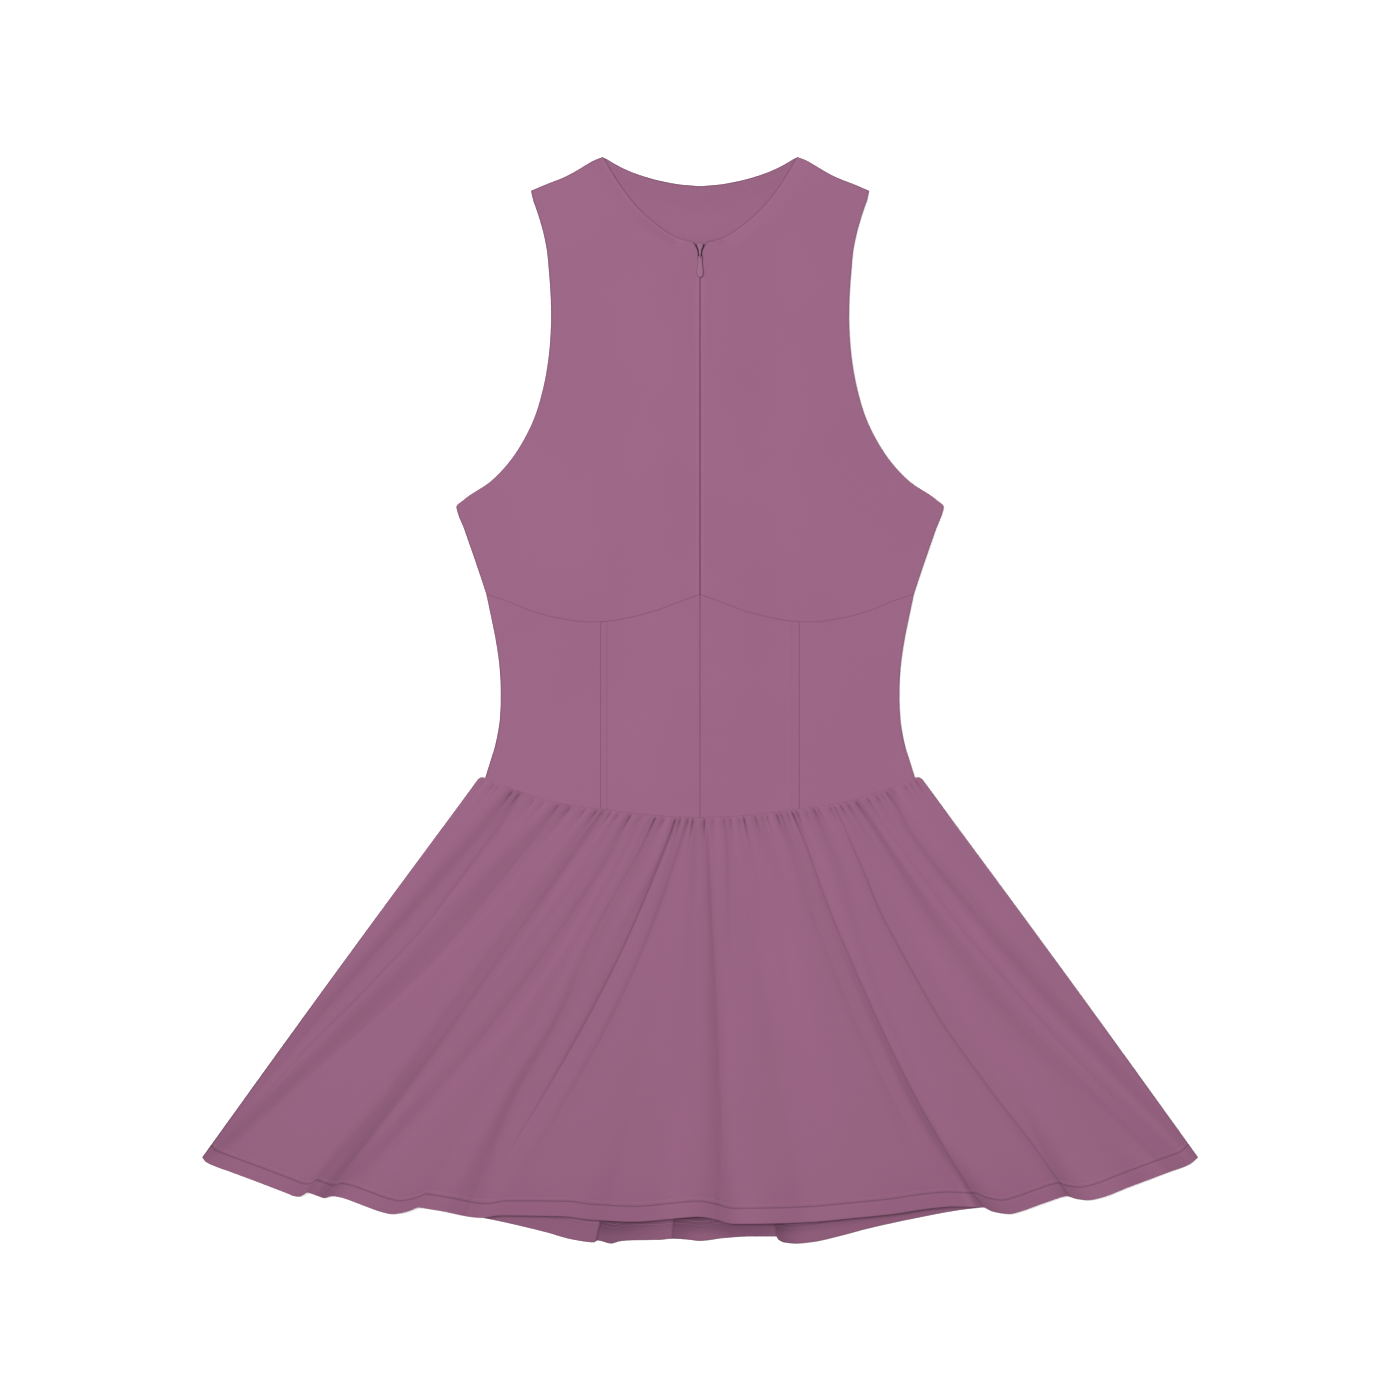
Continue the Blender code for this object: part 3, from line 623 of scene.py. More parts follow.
def upperFront(side, tag):
    half = walls["seamGap"] / 2
    atZip = walls["zipGap"] / 2
    inner = [(max(x, atZip), y) for x, y in innerPoints]
    inner[0] = (atZip, float(underBustLine(atZip)) + half)
    atSide, sideY = underBustPoints[-1]
    outer = [(atSide, sideY + half)] + outerPoints[1:]
    bottom = along(underBustLine, atZip, atSide, lift=half)
    top = along(shoulderLine, shoulderPoints[0][0], shoulderPoints[-1][0])
    columns, rows = bodice["upperGrid"]
    u = sharesWithRims(columns, bodice["upperWidth"])
    v = sharesWithRims(rows, bodice["upperLength"])
    left = pathThrough(inner, (zipTop, neckStart))
    xy = fillEdges(left, pathThrough(outer), bottom, top, u, v)
    xy[..., 0] *= side
    x, y = xy[..., 0], xy[..., 1]
    low = frontLow(x, y)
    high = frontTop(x, y)
    # the neck edge is turned in and pressed thin, so it lies close on the back
    fromNeck = np.linalg.norm(xy - xy[:, :1], axis=2)
    atNeck = ease((v[:, None] * (len(inner) - 1) - neckStart) / 0.6)
    pressed = atNeck * (1.0 - ease(fromNeck / bodice["neckPress"]))
    besideTape = ease((np.abs(x) - zipSizes["tapeWidth"] - 2.0) / 6.0)
    settled = (low - walls["rest"]) * pressed * besideTape + bodice["neckSink"] * pressed
    low = low - settled
    high = high - settled - bodice["neckThin"] * pressed
    # painted shade along the edges, with a painted shadow line along the neck edge, darker on the
    # L half
    low, high, shade = roundRims(
        xy, low, high, bottom=seamEdge, top=openEdge,
        inner=neckEdge if side < 0 else shadedNeckEdge, outer=litEdge if side < 0 else openEdge,
    )
    # the centre line is crisp between strips of painted highlight, and so is the neck edge
    beside = ease((365.0 - y) / 8.0)
    pale = bell(np.abs(x) - bodice["paleAway"], bodice["paleWidth"])
    shade = shade - 0.10 * pale * beside * (1.0 - atNeck)
    shade = shade - 0.08 * bell(fromNeck - bodice["paleAway"], 0.8) * atNeck
    return clothShell(
        "frontUpper" + tag, "front_upper_" + tag.lower(), xy, low, high, shade, xy.copy(),
        clothLook,
    )


def midriffPanel(side, tag, atSide):
    half = walls["seamGap"] / 2
    first = princess + half if atSide else walls["zipGap"] / 2
    last = underBustPoints[-1][0] if atSide else princess - half
    lastLow = waistPoints[-1][0] if atSide else princess - half
    bottom = along(waistLine, first, lastLow, lift=half)
    top = along(underBustLine, first, last, lift=-half)

    def left(share):
        return between(bottom(0.0), top(0.0), share[..., None])

    def right(share):
        y = between(bottom(1.0)[1], top(1.0)[1], share)
        return np.stack([sideLine(y) if atSide else np.full_like(y, last), y], axis=-1)

    width = last - first
    stitchX = princess - bodice["allowance"]
    columns, rows = bodice["midriffGrid"]
    u = sharesWithRims(columns, width)
    if not atSide:
        # close lines where the allowance and its stitching lie
        u = np.unique(np.concatenate([u, (besideSeam + stitchX - first) / width]))
    v = sharesWithRims(rows, bodice["midriffLength"])
    xy = fillEdges(left, right, bottom, top, u, v)
    xy[..., 0] *= side
    x, y = xy[..., 0], xy[..., 1]
    low = frontLow(x, y)
    high = frontTop(x, y)
    if not atSide:
        away = np.abs(x) - stitchX
        high = high + bodice["allowanceRise"] * ease(away + 0.5)
        high = high - bodice["stitchDip"] * bell(away, 0.45)
        high = high + 0.05 * np.sin(y / 1.9 + np.sin(y / 7.0)) * bell(away, 2.2)
    sideEdge = litEdge if side < 0 else openEdge
    low, high, shade = roundRims(
        xy, low, high, bottom=waistEdge, top=seamEdge,
        inner=princessEdge if atSide else centreEdge, outer=sideEdge if atSide else princessEdge,
    )
    if not atSide:
        # the zip ends a little above the waist, and below it the centre seam is plain, with less
        # painted shade and no painted highlight strips
        belowZip = 1.0 - ease((y - zipSizes["foot"] + 10.0) / 60.0)
        shade = shade * (1.0 - 0.6 * belowZip * bell(np.abs(x), 2.0))
        pale = bell(np.abs(x) - bodice["paleAway"], bodice["paleWidth"])
        shade = shade - 0.08 * pale * (1.0 - belowZip)
        # painted shade along the topstitching
        shade = np.maximum(shade, bodice["stitchShades"][tag] * bell(away, 0.4))
    name, node = ("midriffSide", "side") if atSide else ("midriffCentre", "centre")
    return clothShell(
        name + tag, "front_midriff_" + node + "_" + tag.lower(), xy, low, high, shade,
        xy.copy(), clothLook,
    )


uppers = {tag: upperFront(side, tag) for side, tag in sideTags}
centres = {tag: midriffPanel(side, tag, False) for side, tag in sideTags}
sides = {tag: midriffPanel(side, tag, True) for side, tag in sideTags}
print("bodice front made")


# Bodice back

backPanel = {
    "bandDepth": 4.2, "bandRise": 0.22, "bandDip": 0.18,      # neck edge turned and stitched
    "seamDrop": 0.6,           # so that no floor shows through the front's waist seam
    "columns": 88, "sideRows": 90, "shoulderRows": 50, "width": 300.0,
    "neckShare": 0.66,         # of the top edge
    "sideShare": 23.0 / 27.0,  # of the side edge, up to the curve of the shoulder
    "sideLength": 486.0, "rimLength": 216.0,
}


def backTop(x, y):
    inset = backNeckLine(np.abs(x)) - y - backPanel["bandDepth"]
    onNeck = 1.0 - ease((np.abs(x) - 68.0) / 8.0)
    band = backPanel["bandRise"] * (1.0 - ease(inset + 0.7))
    dip = backPanel["bandDip"] * bell(inset, 0.5)
    ripple = 0.04 * np.sin(x / 1.8 + np.sin(x / 6.0)) * bell(inset + 0.2, 2.0)
    return walls["back"] + (band - dip + ripple) * onNeck


def backBodice():
    atSide, sideY = waistPoints[-1]
    lift = walls["seamGap"] / 2 - backPanel["seamDrop"]
    levels = (-40.0, -16.0, 8.0, 32.0, 56.0)
    edge = [(atSide, sideY + lift)] + [(float(sideLine(y)), y) for y in levels] + outerPoints
    right = pathThrough(edge)
    bottom = along(waistLine, -atSide, atSide, lift=lift)
    neck, tip = backNeckPoints[-1][0], shoulderPoints[-1][0]
    neckShare = backPanel["neckShare"]

    def left(share):
        return right(share) * np.array([-1.0, 1.0])

    def top(share):
        share = np.asarray(share, float)
        away = np.abs(share * 2.0 - 1.0)
        onShoulder = between(neck, tip, (away - neckShare) / (1.0 - neckShare))
        x = np.where(away < neckShare, away / neckShare * neck, onShoulder)
        y = np.where(x < neck, backNeckLine(x), shoulderLine(x))
        return np.stack([np.sign(share - 0.5) * x, y], axis=-1)

    u = sharesWithRims(backPanel["columns"], backPanel["width"])
    sideShare = backPanel["sideShare"]
    onSide = sharesWithRims(backPanel["sideRows"], backPanel["sideLength"], atEnd=False)
    v = np.unique(np.concatenate([
        onSide * sideShare,
        np.linspace(sideShare, 1.0, backPanel["shoulderRows"]),
        1.0 - np.array(rimInsets[:-1]) / backPanel["rimLength"],
    ]))
    xy = fillEdges(left, right, bottom, top, u, v)
    x, y = xy[..., 0], xy[..., 1]
    low, high, shade = roundRims(
        xy, np.zeros_like(x), backTop(x, y), bottom=waistEdge, top=backNeckEdge, inner=litEdge,
    )
    # painted shade along the neck band's stitching, and faint painted shade below it
    inset = backNeckLine(np.abs(x)) - y - backPanel["bandDepth"]
    shade = np.maximum(shade, 0.12 * bell(inset, 0.5) * (np.abs(x) < 70.0))
    shade = np.maximum(shade, 0.05 * bell(inset - 6.0, 9.0))
    return clothShell(
        "backBodice", "back_bodice", xy, low, high, shade, xy.copy(), insideLook,
    )


back = backBodice()
print("bodice back made")


# Skirt

skirt = {
    "hemTurnUp": 12.4, "hemExtra": 0.4, "secondRow": 15.6, "stitchDip": 0.4,
    "swell": 2.6, "riseShare": 0.22, "sideSlope": 60.0, "rollPower": 2.2, "sideBow": 1.1,
    "creaseDepth": 0.3, "creaseWidth": 0.9,
    "overPleats": 1.0, "pleatHalfWidth": 235.0, "pleatSlope": 100.0,
    "gatherHeight": 1.0, "notchCut": 0.6, "notchWidth": 0.45, "notchReach": 0.022,
    # painted shade in the fold hollows, creases and gather notches, and along the hem's stitch
    # rows
    "hollowShade": 0.06, "creaseShade": 0.18, "notchShade": 0.62, "stitchShade": 0.55,
    "toneDepth": 1.2,          # mm of trough for each unit of the troughs' painted shade
    "grainLength": 345.0,      # of the cloth from waist to hem
    "backTuck": 3.2, "backPleatReach": 70.0, "backNarrowing": 0.999, "backShade": 0.27,
}
firstRow = skirt["hemTurnUp"] + 0.2      # stitches from the hem, just past the turned edge
fan = [
    (-179.6, -398.4), (-171, -389), (-146, -372), (-128, -352),
    (-84, -308), (-68, -280), (-57, -252), (-36.8, -196),
    (-20.8, -126), (-5.8, -58), (4.2, 9.8), (20.8, 60), (34, 110),
    (47.2, 168), (79.4, 222), (97.6, 292), (124.8, 342), (148, 368),
    (166.4, 388), (179.6, 398.4),
]      # x at the waist, x at the hem
frontHem = [
    (-398.4, -365.8), (-395.2, -369.6), (-386.4, -373.6), (-378, -376.6),
    (-354, -385.4), (-330, -394.6), (-324.8, -396.7), (-320.8, -397.2),
    (-313.8, -393.7), (-300.6, -398.6), (-293.6, -396.8), (-286.4, -398.1),
    (-272, -403.2), (-253.6, -409.7), (-246.4, -411.1), (-236.8, -409.8),
    (-229.2, -407.3), (-225.8, -405.5), (-208, -408.4), (-175.2, -414),
    (-159.2, -412), (-108, -412.8), (-89.6, -415.2), (-53.6, -417.1),
    (-22.4, -414.7), (-0.8, -413.1), (12.8, -415.4), (27.2, -418.9),
    (62.4, -418.4), (91.2, -417.1), (120, -414.4), (155.2, -410.7),
    (184, -406.4), (204, -404.8), (227.2, -405.8), (233.6, -409),
    (247.2, -411.1), (255.2, -409.3), (270, -404.1), (284.4, -399),
    (289.2, -397.5), (293.6, -396.6), (300.8, -399), (309.6, -400.1), (320.8, -398),
    (342, -389.9), (356.4, -384.5), (375.6, -377.4), (391.2, -371.6), (398.4, -365.8),
]
frontHemCorners = (-313.8, -300.6, -225.8, 227.2, 293.6)      # where a fold's edge steps over
backHem = [
    (-175.2, -414), (-151.2, -419.1), (-122.4, -426.1), (-102.4, -431.6),
    (-84.8, -433.9), (-82.4, -432.4), (-71.2, -434.9), (-64, -433), (-55, -432.3),
    (-32, -431.9), (-22.4, -431), (-9.6, -431.8), (-0.8, -432.8), (20, -430.4),
    (40.8, -429.2), (61, -429.2), (62.4, -431.6), (67.2, -434),
    (76.8, -434.9), (91.2, -433.5), (112.8, -428.6), (133.6, -423.1),
    (169.6, -415.2), (208, -408.1), (227.2, -405.8),
]
# Folds: where the fan line that a fold's crease crosses leaves the waist, at five shares of
# the length, how far the cloth rolls over on its left at waist and hem, how far it recovers
# on its right at waist and hem, its depth near the waist, halfway and at the hem, and how
# sharply the crease is pressed
foldShares = (0.0, 0.3, 0.5, 0.7, 1.0)
folds = [
    (-144, -156.6, -165.3, -172.3, -181.5, 8, 14, 25, 30, 0.8, 1.8, 0, 0.2),
    (-140.5, -140.5, -148, -162.5, -177.5, 2.5, 4, 6, 10, 0.3, 0.5, 0.2, 0.9),
    (-110, -116.5, -125.5, -141.5, -172.8, 12, 24, 22, 30, 0.9, 2.4, 1.2, 0.3),
    (-73.5, -76, -76, -76.3, -80.5, 10, 34, 20, 30, 0.9, 1.8, 2.8, 0.4),
    (-50.5, -55.4, -59.2, -63.9, -72.1, 8, 14, 15, 25, 0.8, 1.3, 0.4, 0.2),
    (-33.5, -37, -35.5, -36.8, -35, 5, 16, 10, 25, 0.7, 1.4, 1.6, 0.5),
    (-18.6, -23, -26.5, -30, -35, 4, 8, 8, 12, 1.4, 0.9, 0, 0.9),
    (-9.5, -15.4, -19.6, -24.1, -30, 4, 8, 8, 14, 0.7, 0.8, 0.1, 0.4),
    (-9, -9, -8.8, -9, -9.6, 15, 30, 25, 35, 0, 0.6, 1.9, 0),
    (5.5, 6.7, 7.2, 7.2, 5.5, 8, 20, 14, 30, 1.1, 1.6, 2.2, 0.6),
    (20.5, 15.5, 15, 15, 15, 4, 6, 8, 8, 0.5, 0.1, 0, 0.5),
    (26, 26.5, 26.8, 26.8, 26.8, 14, 26, 20, 30, 0.3, 0.8, 1, 0),
    (62.2, 56.7, 57, 59.7, 66, 9, 14, 14, 20, 0.8, 0.9, 0.2, 0.2),
    (75.1, 69.4, 69.8, 72, 80.8, 10, 24, 14, 25, 1.3, 1.9, 2.8, 1),
    (107, 94.3, 93.6, 95.5, 99.7, 6, 12, 14, 30, 0.8, 1.1, 2, 0.9),
    (124.5, 126, 129.3, 138, 155, 12, 18, 20, 26, 0.9, 1.5, 0.9, 0.3),
    (131.5, 133.5, 140, 148.2, 168, 4, 6, 8, 10, 0.3, 0.4, 0.2, 0.8),
    (148.6, 154.8, 160.5, 169, 181.4, 14, 16, 20, 25, 1, 1.6, 0.2, 0.2),
]
# Soft troughs and ridges between the folds, with painted shade in the troughs and painted
# highlight on the ridges: where each leaves the waist on the fan line that it crosses, at six
# shares of the length, its reach on the left at waist and hem, its reach on the right at waist
# and hem, and its painted shade at four depths, which also sinks the cloth, a ridge's painted
# highlight below nothing
toneShares = (0.0, 0.12, 0.3, 0.5, 0.7, 1.0)
toneDepths = (0.05, 0.35, 0.65, 1.0)
wholeSkirtShade = (0.02, 0.06, 0.09, 0.15)      # how much painted shade the whole skirt gets at those depths
troughShades = [
    (-149, -153, -159, -167, -176, -181.5, 5.5, 7.5, 10, 4.5, 0.18, 0.17, 0.13, -0.02),
    (-142.5, -139.5, -143, -151, -162, -178.5, 3, 4.5, 2, 2.5, 0.09, 0.06, 0, -0.06),
    (-110.5, -120, -129, -136.5, -148, -181, 4.5, 10, 13.5, 4, 0.14, 0.13, 0.17, 0.16),
    (-95.5, -102.5, -108, -122.5, -140, -177.5, 2.5, 4, 3, 2, -0.03, -0.05, -0.06, 0.08),
    (-84.5, -85, -84, -84, -82.5, -89, 2.5, 4, 5.5, 3.5, 0.05, 0.08, 0.1, 0.14),
    (-75, -76, -73.5, -74, -77.5, -81.5, 6.5, 2.5, 2, 4, 0.19, 0.04, 0.13, 0.23),
    (-69, -68.5, -68.5, -72, -74, -73.5, 2.5, 2.5, 3, 2.5, 0, -0.08, -0.01, -0.08),
    (-63, -63, -67, -69.5, -70.5, -71, 2, 2, 3.5, 2, 0.04, 0.08, -0.01, -0.05),
    (-54.5, -52.5, -53, -60, -65.5, -76.5, 5.5, 3, 2, 4.5, 0.13, 0.06, 0.05, 0.17),
    (-46.5, -46.5, -47.5, -52, -60.5, -64.5, 1.5, 4, 2, 3, -0.03, -0.06, -0.04, -0.05),
    (-45, -44.5, -44.5, -44.5, -48, -47.5, 1.5, 6, 2, 1.5, 0.1, 0.05, 0.05, 0.03),
    (-39.5, -37.5, -39.5, -39, -37.5, -37.5, 2, 2.5, 1, 4.5, 0.06, -0.05, 0.02, 0.09),
    (-34, -34, -35, -35, -37.5, -33, 1, 2, 4, 1, 0.14, 0.06, 0.1, 0.05),
    (-17, -21, -26.5, -27.5, -32.5, -35, 1.5, 4, 1, 5, 0.18, 0.08, 0.03, -0.09),
    (-9, -13, -16, -19, -23, -28.5, 4, 1, 2.5, 1.5, 0.12, 0.05, 0.04, 0.02),
    (-3, -2, -1, -1.5, -0.5, -0.5, 2, 1.5, 2, 3, 0.15, 0.04, 0, -0.09),
    (4.5, 6, 7, 6.5, 6.5, 7.5, 2.5, 2.5, 1.5, 5, 0.13, 0.11, 0.14, 0.11),
    (20, 19, 14, 13.5, 10, 13, 1.5, 5.5, 2.5, 6, 0.13, -0.01, -0.07, -0.12),
    (36, 33, 32.5, 32.5, 31, 30, 3.5, 3.5, 2, 3, 0.06, -0.04, -0.04, -0.07),
    (44, 44.5, 40, 37, 36, 34.5, 1.5, 3, 3.5, 7.5, 0.09, -0.06, -0.05, -0.06),
    (61, 60.5, 56.5, 55.5, 57, 58, 1, 2.5, 6.5, 1.5, 0.12, 0.02, 0.03, 0.01),
    (75.5, 70.5, 66.5, 67.5, 69.5, 80.5, 1, 2, 1, 4.5, 0.05, 0.04, 0.2, 0.27),
    (81.5, 79, 74.5, 73.5, 74.5, 78.5, 5, 3.5, 8, 10.5, -0.03, -0.08, -0.08, -0.03),
    (89.5, 87.5, 80.5, 77, 77, 77, 5, 2.5, 3, 2, 0.14, 0.08, 0.08, -0.14),
    (119, 115.5, 116, 111.5, 107, 99.5, 2, 3, 2, 8, 0.03, 0.02, 0.01, 0.2),
    (113, 112.5, 110.5, 108.5, 109, 111, 5, 12, 7.5, 14.5, 0.04, -0.07, -0.06, -0.14),
    (125, 123.5, 122, 124, 133.5, 150.5, 1, 11, 2.5, 3.5, 0.21, 0.08, 0.06, -0.11),
    (130, 128.5, 130.5, 135, 144.5, 161, 4, 1.5, 3.5, 3.5, -0.03, -0.05, -0.05, 0.02),
    (139, 139.5, 140.5, 145, 155, 173.5, 5, 3, 3.5, 4, 0.03, -0.09, -0.08, -0.07),
    (151, 145, 148, 155, 163.5, 178.5, 2.5, 4, 1.5, 6.5, 0.18, 0.1, 0.09, 0.04),
    (156.5, 154, 161.5, 167.5, 173, 179, 7.5, 4, 10.5, 6, -0.05, -0.07, -0.04, 0.01),
]
# Notches between the gathers at the waist seam: x, depth
gathers = [
    (-171.3, 0.5), (-163.1, 0.6), (-159.9, 0.4), (-148.7, 1), (-142.9, 0.9),
    (-131, 0.6), (-123.6, 0.5), (-112.1, 0.9), (-102.4, 0.8), (-90.2, 0.8),
    (-81, 0.9), (-76.1, 0.5), (-69.9, 0.7), (-63.9, 0.6), (-54.2, 1.1),
    (-46, 0.5), (-34.8, 1.4), (-27.6, 0.7), (-19.1, 1.3), (-14.7, 0.7),
    (-9, 0.8), (-5, 1), (3.5, 1.2), (10.9, 0.5), (18.9, 0.7),
    (24.4, 0.7), (31.1, 0.6), (34.8, 1.1), (43.5, 0.9), (49.5, 0.5),
    (52.7, 0.6), (60.4, 1.1), (64.4, 0.6), (69.1, 0.6), (73.1, 1.4),
    (77.1, 0.7), (83.5, 0.6), (90.2, 0.9), (93.7, 0.5), (102.7, 0.9),
    (106.4, 0.5), (111.4, 0.8), (117.3, 0.8), (123.6, 1.1), (132.5, 0.9),
    (139.7, 0.7), (143.9, 0.5), (147.9, 0.8), (153.4, 0.5), (162.3, 0.7),
    (166.8, 0.5), (171.3, 0.8),
]
gatherFade = [
    (0, 0.35), (0.012, 0.9), (0.03, 0.62), (0.06, 0.28), (0.11, 0.12), (0.2, 0), (1, 0),
]      # share of the length, strength of the gathers
fanX = np.array([row[0] for row in fan])
fanHemX = np.array([row[1] for row in fan])
hemLine = steadyCurve(frontHem, frontHemCorners)
backHemCurve = steadyCurve(backHem)
gatherFadeCurve = steadyCurve(gatherFade)


def fanToHem(w):
    return np.interp(w, fanX, fanHemX)


def skirtLength(w):
    hemX = fanToHem(w)
    return np.hypot(hemX - w, hemLine(hemX) - skirtWaistLine(np.abs(w)))


def fanPlace(w, share):
    # x of the fan line from w on the waist; the skirt's sides bow outwards a little
    bow = skirt["sideBow"] * (w / waistHalf) ** 9 * np.sin(math.pi * share)
    return between(w, fanToHem(w), share) + bow


def skirtPlace(w, share):
    top = skirtWaistLine(np.abs(w)) - walls["seamGap"] / 2
    end = hemLine(fanToHem(w))
    return np.stack([fanPlace(w, share), between(top, end, share)], axis=-1)


def creaseLine(row, share):
    return steadyCurve(list(zip(foldShares, row[:5])))(share)


def foldForm(w, share):
    # depth of all the folds together, and how close each place is to a pressed crease
    x = fanPlace(w, share)
    total = np.zeros_like(w)
    pressed = np.zeros_like(w)
    for row in folds:
        place = fanPlace(creaseLine(row, share), share)
        roll = between(row[5], row[6], share)
        recover = between(row[7], row[8], share)
        nearWaist, halfway, atHem, sharp = row[9:]
        depth = np.where(
            share < 0.5,
            between(nearWaist, halfway, ease(2.0 * share)),
            between(halfway, atHem, ease(2.0 * share - 1.0)),
        )
        away = x - place
        left = np.maximum(0.0, 1.0 + away / roll) ** skirt["rollPower"]
        right = np.exp(-np.maximum(away, 0.0) / recover)
        total += depth * np.where(away < 0.0, left, right)
        strength = sharp * ease(depth / 0.8) * ease(share / 0.06)
        pressed = np.maximum(pressed, strength * bell(away, skirt["creaseWidth"]))
    return total, pressed


def troughShadeForm(w, share):
    # painted shade of the soft troughs, painted highlight on the ridges, and painted shade over
    # the whole skirt
    total = np.interp(share, toneDepths, wholeSkirtShade)
    for row in troughShades:
        away = w - steadyCurve(list(zip(toneShares, row[:6])))(share)
        left = between(row[6], row[7], share)
        right = between(row[8], row[9], share)
        deep = np.interp(share, toneDepths, row[10:])
        total = total + deep * bell(away, np.where(away < 0.0, left, right))
    return total


def gatherForm(w, share):
    # height of the gathers, and how close each place is to a notch between them
    x = np.array([-waistHalf] + [row[0] for row in gathers] + [waistHalf])
    depth = np.array([0.0] + [row[1] for row in gathers] + [0.0])
    k = np.clip(np.searchsorted(x, w, side="right") - 1, 0, len(x) - 2)
    f = (w - x[k]) / (x[k + 1] - x[k])
    wave = 0.5 - 0.5 * np.cos(2.0 * math.pi * f)
    height = skirt["gatherHeight"] * gatherFadeCurve(share) * wave
    height = height * between(depth[k], depth[k + 1], f)
    notched = np.zeros_like(w)
    for spot, cut in gathers:
        reach = skirt["notchReach"] * (0.4 + cut)
        strength = cut * bell(share, reach) * ease((share - 0.001) / 0.010)
        away = np.abs(w - spot) * (1.0 + 1.2 * share)
        notched = np.maximum(notched, strength * bell(away, skirt["notchWidth"]))
    fade = ease((waistHalf - np.abs(w)) / 8.0)
    return height * fade, notched * fade


def skirtForm(w, share):
    # the front skirt's underside, its top, and the painted shade of each place
    depth, pressed = foldForm(w, share)
    height, notched = gatherForm(w, share)
    tone = troughShadeForm(w, share)
    hollow = np.exp(-depth / skirt["swell"])
    x = fanPlace(w, share)
    near = 1.0 - ease((np.abs(x) - skirt["pleatHalfWidth"]) / skirt["pleatSlope"])
    overBack = skirt["overPleats"] * near * ease((share - 0.6) / 0.25)
    fromSide = fanPlace(np.full_like(w, waistHalf), share) - np.abs(x)
    swell = skirt["swell"] * ease(share / skirt["riseShare"])
    swell = swell * ease(fromSide / skirt["sideSlope"])
    low = walls["rest"] + overBack + height + swell * hollow

    fromHem = (1.0 - share) * skirtLength(w)
    fromFirst = fromHem - skirt["hemTurnUp"]
    fromSecond = fromHem - skirt["secondRow"]
    band = skirt["hemExtra"] * (1.0 - ease((fromFirst + 0.4) / 0.8))
    dips = skirt["stitchDip"] * bell(fromFirst - 0.2, 0.55) + 0.12 * bell(fromSecond, 0.5)
    ripple = 0.05 * np.sin(fanToHem(w) / 2.3 + np.sin(w)) * bell(fromHem - 13.5, 4.0)
    trough = skirt["toneDepth"] * np.clip(tone, -0.2, 0.35) * ease(share / 0.05)
    high = low + walls["skirt"] + band - dips + ripple - trough
    high = high - skirt["creaseDepth"] * pressed - skirt["notchCut"] * notched

    # painted shade along the hem's stitch rows, a painted highlight just above the lower row, and
    # painted shade near the hem
    stitched = bell(fromFirst - 0.2, 0.4) + 0.16 * bell(fromSecond + 0.6, 0.4)
    highlightAboveStitch = 0.10 * bell(fromFirst - 1.5, 0.6)
    nearHemShade = 0.035 * bell(fromHem, 35.0)
    # painted shade in fold hollows, creases and notches, along the stitching and in the troughs
    dark = (
        skirt["hollowShade"] * (1.0 - hollow) + skirt["creaseShade"] * pressed
        + skirt["notchShade"] * notched + skirt["stitchShade"] * stitched
        + tone - highlightAboveStitch + nearHemShade
    )
    return low, high, dark


# Rows of the skirt's grid, mm from the hem and from the waist, and the folds whose creases
# its columns run along
hemRows = (
    18.5, 17.2, 16.4, 15.9, 15.3, 14.5, 13.5, 13, 12.6, 12.2, 11.5, 10, 7.5, 5, 3, 1.6,
    0.7, 0.3, 0.1, 0,
)
waistRows = (0.0, 0.1, 0.3, 0.7, 1.4, 2.2, 3.2, 4.4, 5.8, 7.4, 9.2, 11.2, 13.4, 16.0)
sharpFolds = [folds[k] for k in (1, 6, 13, 14, 16)]
besideCrease = np.array([-0.9, -0.5, -0.22, 0.0, 0.22, 0.5, 0.9])
besideNotch = np.array([-0.45, 0.0, 0.45])
besideEdge = np.array([0.05, 0.16, 0.4])


def bentColumns(w, share):
    # columns leave the waist at w and bend along with the sharpest creases
    starts = [-waistHalf] + [row[0] for row in sharpFolds] + [waistHalf]
    ends = [np.full_like(share, -waistHalf)]
    ends += [creaseLine(row, share) for row in sharpFolds]
    ends += [np.full_like(share, waistHalf)]
    total = np.array(w, float)
    for k in range(len(starts) - 1):
        f = (w - starts[k]) / (starts[k + 1] - starts[k])
        total = np.where((f >= 0.0) & (f <= 1.0), between(ends[k], ends[k + 1], f), total)
    return total


def skirtGrid(columns, middleRows):
    # columns lie evenly two thirds of the way down, and close at the notches and creases
    evenShare = 0.65
    fine = np.linspace(-waistHalf, waistHalf, 4000)
    across = fanPlace(bentColumns(fine, np.full_like(fine, evenShare)), evenShare) + 0.5 * fine
    travelled = across - across[0]
    w = np.interp(np.linspace(0.0, travelled[-1], columns), travelled, fine)
    notches = [row[0] + besideNotch for row in gathers]
    creases = [row[0] + besideCrease for row in sharpFolds]
    edges = [waistHalf - besideEdge, besideEdge - waistHalf]
    w = np.unique(np.concatenate([w] + edges + notches + creases).round(3))
    bent, shares = [], []

    def addRow(fromWaist):
        # a row that lies as far down each column as its length there asks for
        place = w
        for turn in range(3):
            length = skirtLength(place)
            place = bentColumns(w, fromWaist(length) / length)
        length = skirtLength(place)
        bent.append(place)
        shares.append(fromWaist(length) / length)

    for row in hemRows[::-1]:
        addRow(lambda length: length - row)
    for f in np.linspace(1.0, 0.0, middleRows + 2)[1:-1]:
        addRow(lambda length: between(waistRows[-1], length - hemRows[0], f))
    for row in waistRows[::-1]:
        addRow(lambda length: row)
    return np.array(bent), np.array(shares)


